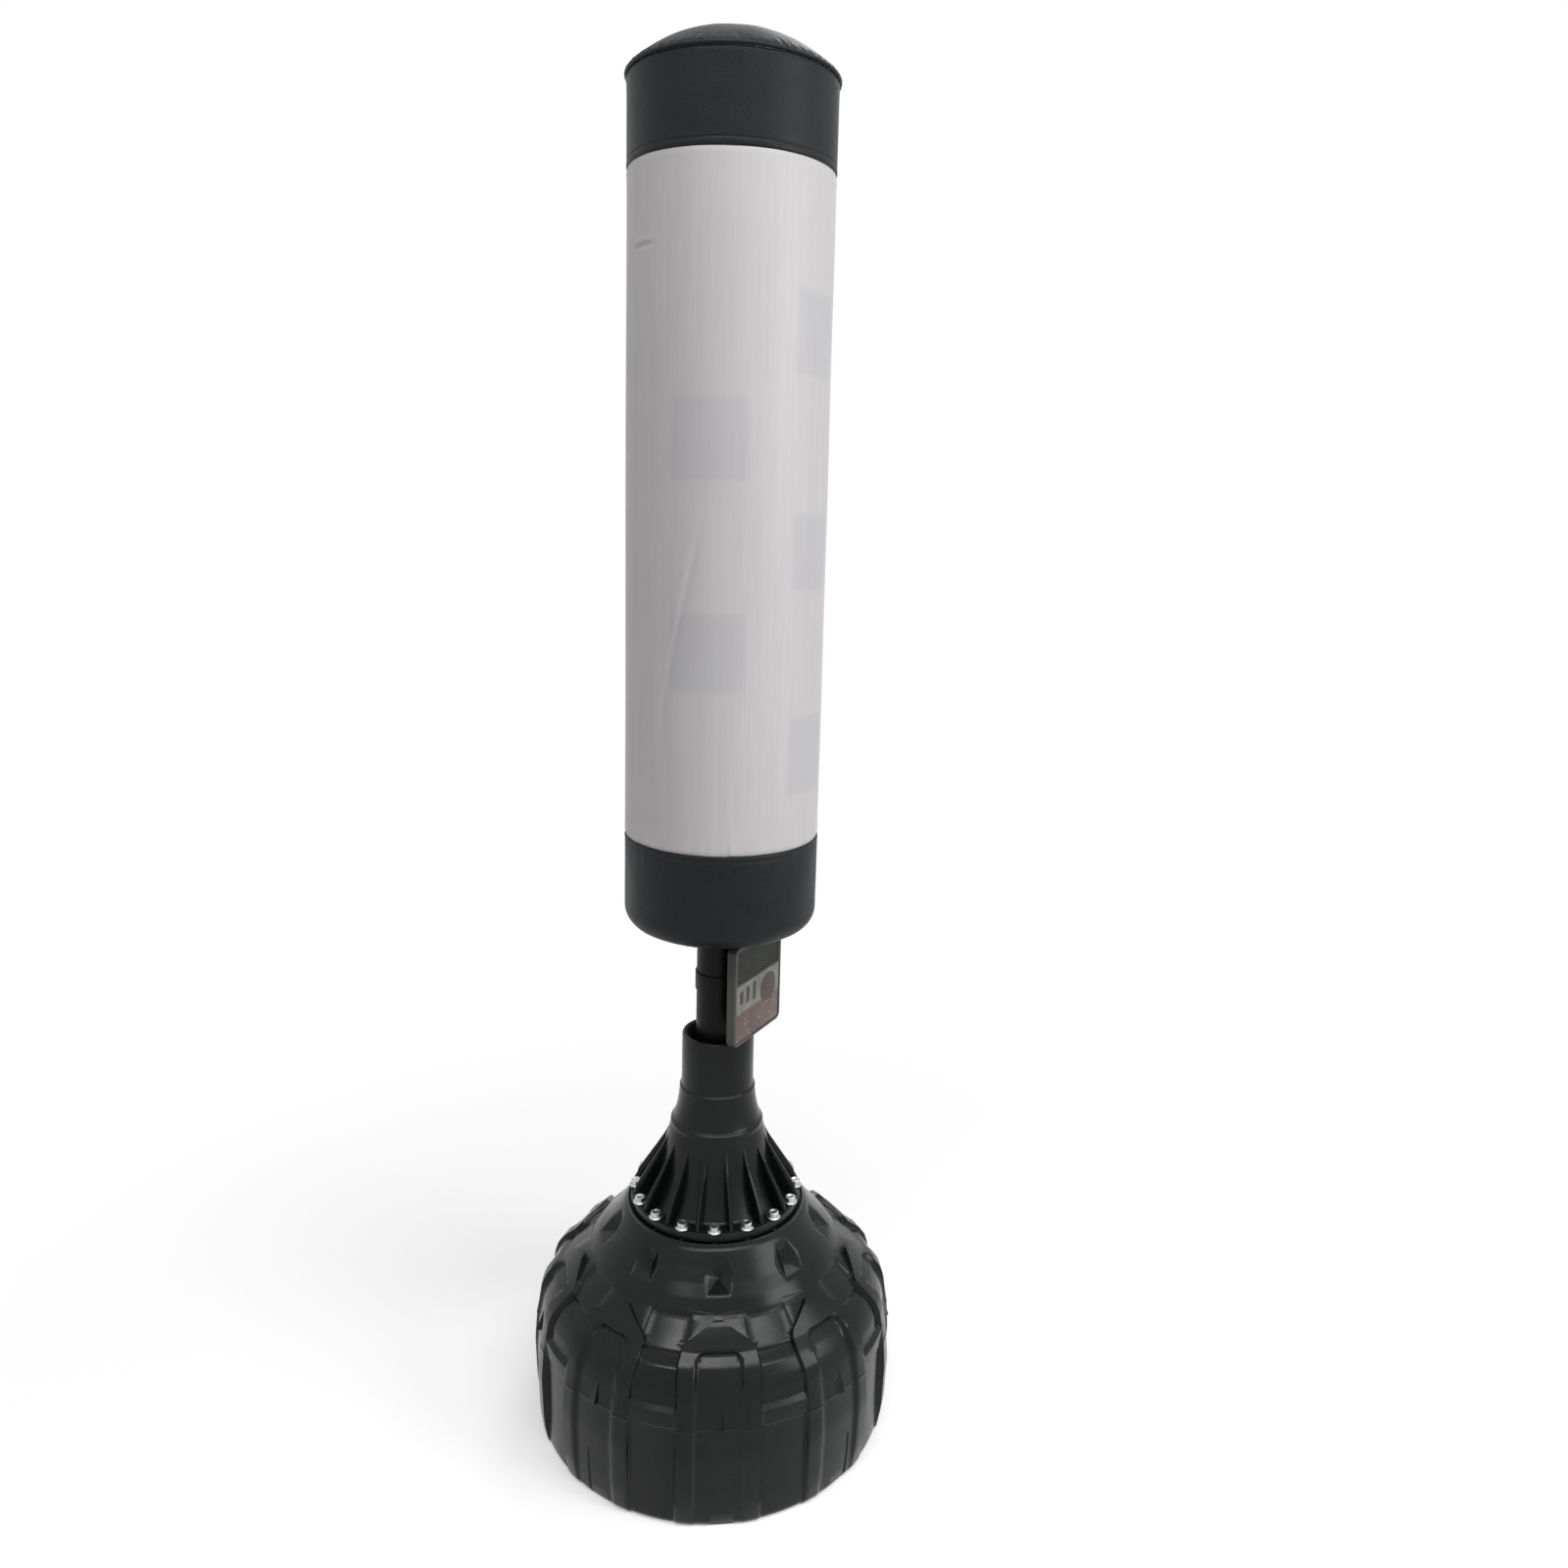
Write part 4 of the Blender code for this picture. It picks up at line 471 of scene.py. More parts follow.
def eased(points, cut, closed=True, steps=3):
    """An outline with its corners rounded off, each held by a point beside it so that flats stay flat."""
    out = []
    count = len(points)
    for i, point in enumerate(points):
        here = np.array(point, float)
        if not closed and i in (0, count - 1):
            out.append(tuple(here))
            continue
        back, ahead = np.array(points[i - 1]) - here, np.array(points[(i + 1) % count]) - here
        long_back, long_ahead = np.hypot(*back), np.hypot(*ahead)
        bend = math.degrees(math.acos(np.clip(-back @ ahead / (long_back * long_ahead), -1, 1)))
        if bend < 14:
            out.append(tuple(here))
            continue
        off = min(cut, long_back * 0.4, long_ahead * 0.4)
        start, stop = here + back / long_back * off, here + ahead / long_ahead * off
        out.append(tuple(start + back / long_back * off * 0.2))
        for k in range(steps + 1):
            t = k / steps
            out.append(tuple(start * (1 - t) ** 2 + here * 2 * t * (1 - t) + stop * t * t))
        out.append(tuple(stop + ahead / long_ahead * off * 0.2))
    return out


side_mm = rounded_rows([row[:10] for row in SIDE], [row[10] for row in SIDE], 9.0)
cone_mm = eased(CONE, 3.0, closed=False)
fine_cone = [cone_mm[0]]
for low, high in zip(cone_mm, cone_mm[1:]):
    pieces = max(1, int(math.dist(low, high) / 2.4))
    fine_cone += [tuple(np.array(low) + (np.array(high) - np.array(low)) * i / pieces)
                  for i in range(1, pieces + 1)]
flat_columns = np.linspace(0.0, LUG_PITCH / 2, sum(ZONES) + 1)


def plain_rows(outline):
    """Half a lug's columns where the shell is round."""
    return [(np.full(len(flat_columns), r), flat_columns, np.full(len(flat_columns), z)) for r, z in outline]


half_rows = plain_rows(eased(UNDERSIDE, 2.0, closed=False))
half_rows += [side_row(row) for row in side_mm] + [cone_row(*p) for p in fine_cone[1:]]
half_rows += plain_rows(eased((CONE[-1],) + MOUTH, 0.8, closed=False)[1:])


def lug_point(radius, azimuth, z):
    """A point in metres from a radius and height in mm and an azimuth in degrees from the front to +X."""
    angle = math.radians(azimuth)
    return (radius * math.sin(angle) / 1000, -radius * math.cos(angle) / 1000, z / 1000)


sector_points = []
for radii, turns, heights in half_rows:
    both = list(zip(radii, -turns, heights))[:0:-1] + list(zip(radii, turns, heights))
    sector_points += [lug_point(*p) for p in both]
sector_columns = 2 * sum(ZONES) + 1
sector = mesh_from("lug_sector", sector_points, grid_faces(len(half_rows), sector_columns, False),
                   hold_faces=True)
hdpe = moulded_plastic("blow_moulded_polyethylene", "0c0e0f", "141717", 0.23, 1.6, 0.03)
shell = grown(round_tree, sector, count=LUGS, first=math.radians(FIRST_LUG), weld=4e-6, finish=hdpe)
bm = bmesh.new()
bm.from_mesh(shell)
bmesh.ops.recalc_face_normals(bm, faces=bm.faces)
bm.to_mesh(shell)
bm.free()
smoothed(shell)
tank = piece("tank_shell", shell, hdpe, "base", "tank_polyethylene", "base_tank")

# Each lug's panel has a small fin standing on its ledge, and a shallow arched recess at its foot. Places
# across the lug are in degrees from its middle, and the other sizes in mm.
FIN_TOP, FIN_FOOT, FIN_OUT, FIN_SUNK, FIN_BURIED = 178.2, 138.4, 245.4, 0.8, 234.0
FIN_LEFT, FIN_PEAK, FIN_RIDGE, FIN_RIGHT = -1.9, 0.85, 1.05, 1.5
ARCH_MIDDLE, ARCH_AT = 1.3, 241.0
ARCH_HALF, ARCH_SPRING, ARCH_RISE, ARCH_DEEP = 15.0, 66.0, 15.0, 1.6
# The cutter's inner and outer faces: how much wider each is, and how far it stands off the panel. Its rows
# lie at these heights and then at these angles of its arch.
ARCH_SKINS = ((-1.2, -ARCH_DEEP), (1.0, 1.2))
ARCH_LEVELS = (-4.0, 3.0, 7.0, 20.0, 38.0, 52.0)
ARCH_TURNS = (0, 15, 30, 45, 60, 75, 86)
ARCH_STEPS = 3
panel_z, panel_r = [row[5] for row in SIDE[:14]], [row[4] for row in SIDE[:14]]


def panel_radius(z):
    """The panel's radius at this height, both in mm."""
    return float(np.interp(z, panel_z, panel_r))


def fin(middle):
    """The corners of one fin, with one deep in the wall."""
    return [lug_point(panel_radius(FIN_TOP) - FIN_SUNK, middle + FIN_PEAK, FIN_TOP),
            lug_point(panel_radius(FIN_FOOT) - FIN_SUNK, middle + FIN_LEFT, FIN_FOOT),
            lug_point(FIN_OUT, middle + FIN_RIDGE, FIN_FOOT),
            lug_point(panel_radius(FIN_FOOT) - FIN_SUNK, middle + FIN_RIGHT, FIN_FOOT),
            lug_point(FIN_BURIED, middle, FIN_FOOT + 2.0)]


def arch(middle):
    """The points of one arched cutter: a grid inside the wall and a wider one outside it."""
    heights = [*ARCH_LEVELS, *[ARCH_SPRING + ARCH_RISE * math.sin(math.radians(t)) for t in ARCH_TURNS]]
    points = []
    for grow, out in ARCH_SKINS:
        for z in heights:
            over = min(max((z - ARCH_SPRING) / ARCH_RISE, 0.0), 1.0)
            half = max(ARCH_HALF * math.sqrt(1 - over * over) + grow, 0.3)
            for t in range(-ARCH_STEPS, ARCH_STEPS + 1):
                turn = middle + ARCH_MIDDLE + math.degrees(half * t / ARCH_STEPS / ARCH_AT)
                points.append(lug_point(panel_radius(z) + out, turn, z + (grow if over else 0.0)))
    return points, len(heights)


fins, arches = bmesh.new(), bmesh.new()
wide = 2 * ARCH_STEPS + 1
for k in range(LUGS):
    middle = FIRST_LUG + k * LUG_PITCH
    bmesh.ops.convex_hull(fins, input=[fins.verts.new(p) for p in fin(middle)])
    points, high = arch(middle)
    verts = [arches.verts.new(p) for p in points]
    layer = wide * high
    for i in range(high - 1):
        for j in range(wide - 1):
            a = i * wide + j
            for base in (0, layer):
                arches.faces.new([verts[base + n] for n in (a, a + 1, a + wide + 1, a + wide)])
        for j in (0, wide - 1):
            a = i * wide + j
            arches.faces.new([verts[n] for n in (a, a + wide, a + wide + layer, a + layer)])
    for i in (0, high - 1):
        for j in range(wide - 1):
            a = i * wide + j
            arches.faces.new([verts[n] for n in (a, a + 1, a + 1 + layer, a + layer)])


def carve(target, cutter, operation):
    """Joins a closed mesh to a piece's mesh, or cuts it out."""
    helper = bpy.data.objects.new("helper", cutter)
    scene.collection.objects.link(helper)
    cut = target.modifiers.new("carve", "BOOLEAN")
    cut.operation = operation
    cut.solver = "EXACT"
    cut.object = helper
    made = plain_mesh(target)
    target.modifiers.clear()
    bpy.data.objects.remove(helper)
    target.data = made


for cutter, operation in ((fins, "UNION"), (arches, "DIFFERENCE")):
    bmesh.ops.recalc_face_normals(cutter, faces=cutter.faces)
    solid_mesh = bpy.data.meshes.new("cutter")
    cutter.to_mesh(solid_mesh)
    cutter.free()
    carve(tank, solid_mesh, operation)


# Filler opening
# A threaded polyethylene spout moulded into a boss on the back of the cone, a rubber seal and a screw cap
# with a gripped rim, for filling the base with water or sand.
def lathe(name, profile, steps=96, cut=0.0006, place=None, closed=True):
    """A solid turned about Z from a closed profile of (radius, z), or an open one that ends on the axis."""
    outline = eased(profile, cut, closed) if cut else [tuple(p) for p in profile]
    points = []
    for radius, z in outline:
        for k in range(steps):
            angle = math.tau * k / steps
            points.append(Vector((radius * math.sin(angle), -radius * math.cos(angle), z)))
    if place:
        points = [place @ p for p in points]
    return mesh_from(name, points, grid_faces(len(outline), steps, rows_too=closed))


def around(radius, azimuth, z=0.0):
    """A point in metres at this azimuth in degrees, counted from the front towards +X."""
    angle = math.radians(azimuth)
    return Vector((radius * math.sin(angle), -radius * math.cos(angle), z))


FILLER_AZIMUTH = FIRST_LUG + LUG_PITCH * 4.5
FILLER_SEAT = (0.14999, 0.26743)
FILLER_SLOPE = math.radians(45.86)
FILLER_TUBE = 0.0208
BOSS_LOW, BOSS_HIGH, BOSS_FOOT, BOSS_FACE = -0.006, 0.005, 0.0325, 0.0310
BORE_LOW, BORE_HIGH, BORE_R = -0.028, 0.02, FILLER_TUBE + 0.0003
filler_out = around(math.sin(FILLER_SLOPE), FILLER_AZIMUTH, math.cos(FILLER_SLOPE))
on_filler = (Matrix.Translation(around(FILLER_SEAT[0], FILLER_AZIMUTH, FILLER_SEAT[1]))
             @ filler_out.to_track_quat("Z", "Y").to_matrix().to_4x4())
boss = lathe("boss", [(0.0, BOSS_LOW), (BOSS_FOOT, BOSS_LOW), (BOSS_FACE, BOSS_HIGH), (0.0, BOSS_HIGH)],
             64, 0.0015, on_filler, False)
bore = lathe("bore", [(0.0, BORE_LOW), (BORE_R, BORE_LOW), (BORE_R, BORE_HIGH), (0.0, BORE_HIGH)],
             64, 0, on_filler, False)
for cutter, operation in ((boss, "UNION"), (bore, "DIFFERENCE")):
    carve(tank, cutter, operation)
tank.data.materials.clear()
tank.data.materials.append(hdpe)
smoothed(tank.data)

pe_black = moulded_plastic("moulded_black_polyethylene", "0e1011", "181a1b", 0.36, 1.2, 0.05)
SPOUT_LOW, SPOUT_HIGH, SPOUT_BORE = -0.010, 0.0178, 0.0165
BEAD_OUT, BEAD_LOW, BEAD_HIGH = 0.0265, 0.0053, 0.0078
THREADS, THREAD_START, THREAD_PITCH, THREAD_OUT = 3, 0.0098, 0.0024, FILLER_TUBE + 0.0007
spout = [(SPOUT_BORE, SPOUT_LOW), (FILLER_TUBE, SPOUT_LOW), (FILLER_TUBE, BEAD_LOW), (BEAD_OUT, BEAD_LOW),
         (BEAD_OUT, BEAD_HIGH), (FILLER_TUBE, BEAD_HIGH)]
for k in range(THREADS):
    z = THREAD_START + k * THREAD_PITCH
    spout += [(FILLER_TUBE, z), (THREAD_OUT, z + 0.0006), (THREAD_OUT, z + 0.0010), (FILLER_TUBE, z + 0.0016)]
spout += [(FILLER_TUBE, SPOUT_HIGH), (SPOUT_BORE, SPOUT_HIGH)]
piece("filler_spout", lathe("filler_spout", spout, 72, 0.0003, on_filler), pe_black, "base", "black_plastic",
      "filler_neck")

GRIPS, GRIP_DEEP = 24, 0.0011
BAR_HALF, BAR_LONG, BAR_ROUND = 0.0026, 0.0165, 0.0022
CAP_LOW, CAP_CEILING, CAP_HIGH, CAP_BORE, CAP_RIM = 0.0081, 0.0199, 0.0239, 0.0220, 0.0270
# Rows of the cap, from its ceiling out and over: radius, height and how deep the grips cut there.
cap_rows = [(0.0, CAP_CEILING, 0), (CAP_BORE, CAP_CEILING, 0), (CAP_BORE, CAP_LOW, 0),
            (CAP_RIM - 0.0002, CAP_LOW, 0.5), (CAP_RIM, CAP_LOW + 0.0008, 1), (CAP_RIM, CAP_HIGH - 0.0026, 1),
            (CAP_RIM - 0.0006, CAP_HIGH - 0.0011, 0.7), (CAP_RIM - 0.0018, CAP_HIGH - 0.0003, 0.2),
            (CAP_RIM - 0.0034, CAP_HIGH, 0), (CAP_RIM - 0.0056, CAP_HIGH, 0),
            (CAP_RIM - 0.0066, CAP_HIGH - 0.0006, 0), (CAP_RIM - 0.0072, CAP_HIGH - 0.0014, 0),
            (0.0, CAP_HIGH - 0.0014, 0)]
cap_steps = GRIPS * 6
cap_points = []
for radius, z, grip in cap_rows:
    for k in range(cap_steps):
        angle = math.tau * k / cap_steps
        r = radius - grip * GRIP_DEEP * max(0.0, math.cos(GRIPS * angle)) ** 0.7
        cap_points.append(on_filler @ Vector((r * math.sin(angle), -r * math.cos(angle), z)))
cap_bar = [(-BAR_HALF, -BAR_LONG), (BAR_HALF, -BAR_LONG), (BAR_HALF, BAR_LONG), (-BAR_HALF, BAR_LONG)]
cap_faces = grid_faces(len(cap_rows), cap_steps)
ring = eased(cap_bar, BAR_ROUND, steps=4)
bar_start = len(cap_points)
for inset, z in ((1.0, CAP_HIGH - 0.0018), (1.0, CAP_HIGH - 0.0004), (0.93, CAP_HIGH), (0.0, CAP_HIGH)):
    cap_points += [on_filler @ Vector((x * inset, y * (1 - (1 - inset) * 0.2) if inset else 0.0, z))
                   for x, y in ring]
cap_faces += grid_faces(4, len(ring), first=bar_start)
piece("screw_cap", mesh_from("screw_cap", cap_points, cap_faces), pe_black, "filler_cap", "black_plastic",
      "filler_cap")


# Gasket, steel plate and flange bolts
# A flat rubber ring seals the tank's mouth, a black painted steel plate carries the spring, and sixteen
# zinc-plated flange-head screws clamp the neck down through both.
def rubber_finish(name, dark, pale):
    """Moulded rubber: almost black and matt, with a grey bloom and a faint mottle."""
    made, tree, shader, place = material(name, dark, 0.78, IOR=1.52, Specular_IOR_Level=0.3)
    paler_share = span(tree, noise(tree, place, 14.0, 4.0, 0.6), 0.4, 0.75, 0.0, 0.6)
    tree.links.new(blended(tree, paler_share, dark, pale), shader.inputs["Base Color"])
    tree.links.new(span(tree, paler_share, 0.0, 0.6, 0.72, 0.86), shader.inputs["Roughness"])
    bump(tree, shader, noise(tree, place, 1.5, 2.0), 0.06)
    return made


def painted_steel(name, dark, pale, roughness):
    """Powder-coated steel: a thick satin paint with a faint orange peel and paler worn patches."""
    made, tree, shader, place = material(name, dark, roughness, IOR=1.5, Specular_IOR_Level=0.14)
    wear = span(tree, noise(tree, place, 18.0, 5.0, 0.7), 0.58, 0.78, 0.0, 0.5)
    tree.links.new(blended(tree, wear, dark, pale), shader.inputs["Base Color"])
    tree.links.new(span(tree, noise(tree, place, 30.0, 3.0), 0.3, 0.7, roughness - 0.05, roughness + 0.08),
                   shader.inputs["Roughness"])
    bump(tree, shader, noise(tree, place, 2.2, 1.0), 0.03)
    return made


def bare_metal(name, pale, dark, roughness, grain_mm):
    """Plated or cast metal: a bright, slightly clouded skin with fine grain and duller patches."""
    made, tree, shader, place = material(name, pale, roughness, Metallic=1.0)
    cloud = span(tree, noise(tree, place, 5.0, 4.0, 0.6), 0.35, 0.75, 0.0, 1.0)
    tree.links.new(blended(tree, cloud, pale, dark), shader.inputs["Base Color"])
    tree.links.new(span(tree, cloud, 0.0, 1.0, roughness - 0.06, roughness + 0.14),
                   shader.inputs["Roughness"])
    bump(tree, shader, noise(tree, place, grain_mm), 0.03)
    return made


rubber = rubber_finish("moulded_rubber", "101111", "1c1d1c")
black_paint = painted_steel("powder_coated_steel", "08090a", "0f1011", 0.38)
zinc_plate = bare_metal("zinc_plated_steel", "c4c7c6", "9fa2a1", 0.30, 0.8)

PLATE_LOW, PLATE_HIGH = 0.3056, 0.3096
FLANGE_R = 0.1160
plate = lathe("flange_plate", [(0.0, PLATE_LOW), (FLANGE_R, PLATE_LOW), (FLANGE_R, PLATE_HIGH),
                               (0.0, PLATE_HIGH)], 128, 0.0007, closed=False)
piece("flange_plate", plate, black_paint, "base", "black_painted_steel", "spring_base_plate")

BOLTS = 16
FIRST_BOLT = 2.5
BOLT_CIRCLE = 0.1094
BOLT_SEAT = 0.3182
HEX_HALF = 0.0065
# Rows of one screw, from its tip up: radius, height and how far the outline is a hexagon.
bolt_rows = ((0.0, -0.0277, 0), (0.0030, -0.0277, 0), (0.0040, -0.0265, 0), (0.0040, -0.0004, 0),
             (0.0092, 0.0, 0), (0.0095, 0.0004, 0), (0.0095, 0.0012, 0), (0.0091, 0.0017, 0),
             (0.0078, 0.0024, 0.4), (0.0071, 0.0028, 1), (0.0071, 0.0068, 1), (0.0071, 0.0074, 1),
             (0.0068, 0.0079, 0.85), (0.0060, 0.0082, 0.3), (0.0046, 0.0082, 0), (0.0040, 0.0079, 0),
             (0.0, 0.0077, 0))
bolt_steps = 36
bolt_points = []
for radius, z, six in bolt_rows:
    for k in range(bolt_steps):
        angle = math.tau * k / bolt_steps
        corner = (angle + math.radians(30)) % math.radians(60) - math.radians(30)
        flat = HEX_HALF / math.cos(corner)
        r = radius + (min(flat, radius) - radius) * six if radius > HEX_HALF or six else radius
        bolt_points.append((r * math.sin(angle), -r * math.cos(angle) - BOLT_CIRCLE, z + BOLT_SEAT))
one_bolt = mesh_from("flange_screw", bolt_points, grid_faces(len(bolt_rows), bolt_steps), 38.0)
screws = grown(round_tree, one_bolt, count=BOLTS, first=math.radians(FIRST_BOLT), weld=0.0, finish=zinc_plate)
piece("flange_screws", screws, zinc_plate, "base", "zinc_plated_steel",
      *[f"flange_bolt_{k:02d}" for k in range(1, BOLTS + 1)])


# Neck
# A bell-shaped injection moulding of black glass-filled nylon that holds the spring upright: a plain collar
# with two rounded rings over a cone with sixteen ribs, and a flange. A soft rubber ring lines its mouth.
def curve_through(points, steps):
    """A smooth line through these points."""
    rows = [np.array(p, float) for p in points]
    rows = [2 * rows[0] - rows[1]] + rows + [2 * rows[-1] - rows[-2]]
    out = [rows[1]]
    for a, b, c, d in zip(rows, rows[1:], rows[2:], rows[3:]):
        for i in range(1, steps + 1):
            t = i / steps
            out.append(0.5 * (2 * b + (c - a) * t + (2 * a - 5 * b + 4 * c - d) * t ** 2
                              + (3 * b - a - 3 * c + d) * t ** 3))
    return [tuple(p) for p in out]


nylon = moulded_plastic("glass_filled_nylon", "0b0c0d", "121414", 0.27, 0.9, 0.02)
NECK_TOP = 0.5450
NECK_FOOT = 0.3099
FLANGE_TOP = 0.3179
BELL = ((0.0630, 0.4140), (0.0653, 0.4061), (0.0688, 0.3932), (0.0724, 0.3764), (0.0779, 0.3546),
        (0.0858, 0.3358), (0.0935, 0.3222), (0.0965, 0.3190))
collar = [(0.0444, NECK_TOP - 0.001), (0.0456, NECK_TOP), (0.0469, NECK_TOP), (0.0480, NECK_TOP - 0.0010),
          (0.0484, NECK_TOP - 0.003), (0.0484, 0.500), (0.0486, 0.4770), (0.0489, 0.4727), (0.0492, 0.4719),
          (0.0508, 0.4705), (0.0512, 0.4695), (0.0512, 0.4640)]
collar += curve_through([(0.0512, 0.4640), (0.0528, 0.4500), (0.0552, 0.4380), (0.0585, 0.4270),
                         (0.0603, 0.4241)], 5)[1:]
collar += [(0.0607, 0.4235), (0.0623, 0.4220), (0.0628, 0.4208), (0.0629, 0.4180), (0.0627, 0.4150)]
outside = collar + curve_through(BELL, 5)
outside += [(0.0985, FLANGE_TOP), (FLANGE_R, FLANGE_TOP), (FLANGE_R, NECK_FOOT)]
inside = [(0.0880, NECK_FOOT), (0.0880, 0.3160), (0.0730, 0.3536), (0.0674, 0.3754), (0.0603, 0.4051),
          (0.0565, 0.4130), (0.0510, 0.4360), (0.0444, 0.4720)]
NECK_STEPS = 144
bell = lathe("bell", outside + inside, NECK_STEPS, 0.0009)
# A rib's outer edge and the line along its root, then its section: across, and out from root to edge.
RIB_EDGE = curve_through(((0.0612, 0.4135), (0.0660, 0.4030), (0.0728, 0.3890), (0.0822, 0.3740),
                          (0.0922, 0.3585), (0.1030, 0.3420), (0.1106, 0.3290), (0.1136, 0.3165)), 3)
RIB_ROOT = curve_through(((0.0605, 0.4115), (0.0628, 0.4010), (0.0661, 0.3880), (0.0697, 0.3740),
                          (0.0752, 0.3560), (0.0830, 0.3370), (0.0910, 0.3210), (0.0940, 0.3160)), 3)
RIB_SECTION = ((-1.35, 0.0), (-1.0, 0.70), (-0.92, 0.90), (-0.55, 0.985), (0.0, 1.0), (0.55, 0.985),
               (0.92, 0.90), (1.0, 0.70), (1.35, 0.0))
RIB_HALF, RIB_FLARE = 0.0015, 0.0021


def end_caps(rows, columns, first=0):
    """The two faces that close the ends of a bar made of rings."""
    last = first + (rows - 1) * columns
    return [tuple(range(first, first + columns)), tuple(range(last, last + columns))[::-1]]


def joined(name, *meshes):
    """One mesh that holds all of these."""
    bm = bmesh.new()
    for mesh in meshes:
        bm.from_mesh(mesh)
    made = bpy.data.meshes.new(name)
    bm.to_mesh(made)
    bm.free()
    return made


rib_points = []
for i, (edge, root) in enumerate(zip(RIB_EDGE, RIB_ROOT)):
    half = RIB_HALF + RIB_FLARE * (i / (len(RIB_EDGE) - 1)) ** 1.2
    for side, out in RIB_SECTION:
        r = root[0] + (edge[0] - root[0]) * out
        z = root[1] + (edge[1] - root[1]) * out
        rib_points.append((side * half, -r, z))
rib_size = (len(RIB_EDGE), len(RIB_SECTION))
one_rib = mesh_from("neck_rib", rib_points, grid_faces(*rib_size) + end_caps(*rib_size))
ribs = grown(round_tree, one_rib, count=BOLTS, first=math.radians(FIRST_BOLT + 180 / BOLTS), weld=0.0,
             finish=nylon)
neck_mesh = joined("neck_bell", bell, ribs)
smoothed(neck_mesh, 36.0)
piece("neck_bell", neck_mesh, nylon, "base", "neck_nylon", "neck")
LINER_LOW, LINER_OUT, LINER_BORE = 0.5150, 0.0441, 0.0415
liner = [(LINER_OUT, LINER_LOW), (LINER_OUT, NECK_TOP - 0.0015), (0.0433, NECK_TOP - 0.0002),
         (0.0420, NECK_TOP - 0.0010), (LINER_BORE, NECK_TOP - 0.0035), (LINER_BORE, LINER_LOW)]
piece("mouth_ring", lathe("mouth_ring", liner, 96, 0.0005), rubber, "base", "black_rubber", "neck_liner")

# Spring and its seats
# Inside the neck a black turned steel pedestal and seat hold a coil of phosphated spring steel round a
# rubber buffer. The solids already have these shapes, so they only take their finishes.
spring_steel = bare_metal("phosphated_spring_steel", "56585a", "3c3e40", 0.42, 0.6)


def refinish(finish, *names):
    """Gives solids that stay as they are their finish."""
    for name in names:
        nodes[name].data.materials.clear()
        nodes[name].data.materials.append(finish)


refinish(rubber, "tank_gasket", "filler_gasket", "rubber_buffer")
refinish(black_paint, "spring_pedestal", "upper_spring_seat", "bag_support_plate")
refinish(zinc_plate, "clamp_screw")
refinish(spring_steel, "coil_spring")

# Post
# A 60 mm steel tube, powder-coated black, that runs from the spring up into the bag, with a plastic plug in
# its end. A grey PVC tube slides over it inside the bag.
pvc = moulded_plastic("extruded_grey_pvc", "7f8386", "93979a", 0.42, 2.0, 0.1)
refinish(pe_black, "post_plug")
refinish(pvc, "bag_core_tube")
POST_LOW, POST_HIGH, POST_BORE, POST_R = 0.4496, 1.250, 0.0275, 0.0300
post = lathe("post_pipe", [(POST_BORE, POST_LOW), (POST_R, POST_LOW), (POST_R, POST_HIGH),
                           (POST_BORE, POST_HIGH)], 96, 0.0006)
piece("post_pipe", post, black_paint, "post", "black_painted_steel", "post_tube")


# Foam, felt and the pad in the top
# A solid foam cylinder on the core tube, a wrap of grey felt round it that evens out the surface, and a
# domed foam pad that fills the top. The cover hides them.
def soft_foam(name, pale, dark, cell_mm):
    """Open-cell foam or needled felt: dull, with small pits and a slight yellowing."""
    made, tree, shader, place = material(name, pale, 0.95, IOR=1.4)
    pits = put(tree, "ShaderNodeTexVoronoi", {"Vector": place, "Scale": 1000 / cell_mm}).outputs["Distance"]
    tree.links.new(blended(tree, span(tree, pits, 0.1, 0.7, 0.0, 1.0), dark, pale),
                   shader.inputs["Base Color"])
    bump(tree, shader, pits, 0.4)
    return made


foam = soft_foam("polyurethane_foam", "d9d6c9", "b9b5a6", 3.0)
felt = soft_foam("needled_grey_felt", "8d8f90", "6f7172", 2.0)
CORE_BORE = 0.0379
FOAM_LOW, FOAM_HIGH, FOAM_R, FOAM_ROUND = 0.7080, 1.7218, 0.1184, 0.0227
WRAP_LOW, WRAP_HIGH, WRAP_R, WRAP_BORE = 0.7276, 1.7298, 0.1231, 0.1190


def crowned(low, high, radius, waist, count=12):
    """Side of a soft cylinder that swells a little between its ends."""
    return [(radius - waist * (2 * i / count - 1) ** 2, low + (high - low) * i / count)
            for i in range(count + 1)]


core = [(CORE_BORE, FOAM_LOW)]
core += [(0.0957 + FOAM_ROUND * math.sin(math.radians(a)), 0.7275 - 0.0195 * math.cos(math.radians(a)))
         for a in range(0, 91, 15)]
core += crowned(0.7300, 1.7160, FOAM_R, 0.0006) + [(0.1160, FOAM_HIGH), (CORE_BORE, FOAM_HIGH)]
foam_core = piece("foam_core", lathe("foam_core", core, 96, 0), foam, "post", "pale_foam", "bag_foam")
wrap = (crowned(WRAP_LOW, WRAP_HIGH, WRAP_R, 0.0004)
        + crowned(WRAP_LOW, WRAP_HIGH, WRAP_BORE, 0.0004)[::-1])
felt_wrap = piece("felt_wrap", lathe("felt_wrap", wrap, 96, 0), felt, "post", "grey_felt", "bag_padding")
PAD_LOW, PAD_R, PAD_CROWN = 1.7306, 0.1230, 0.0430
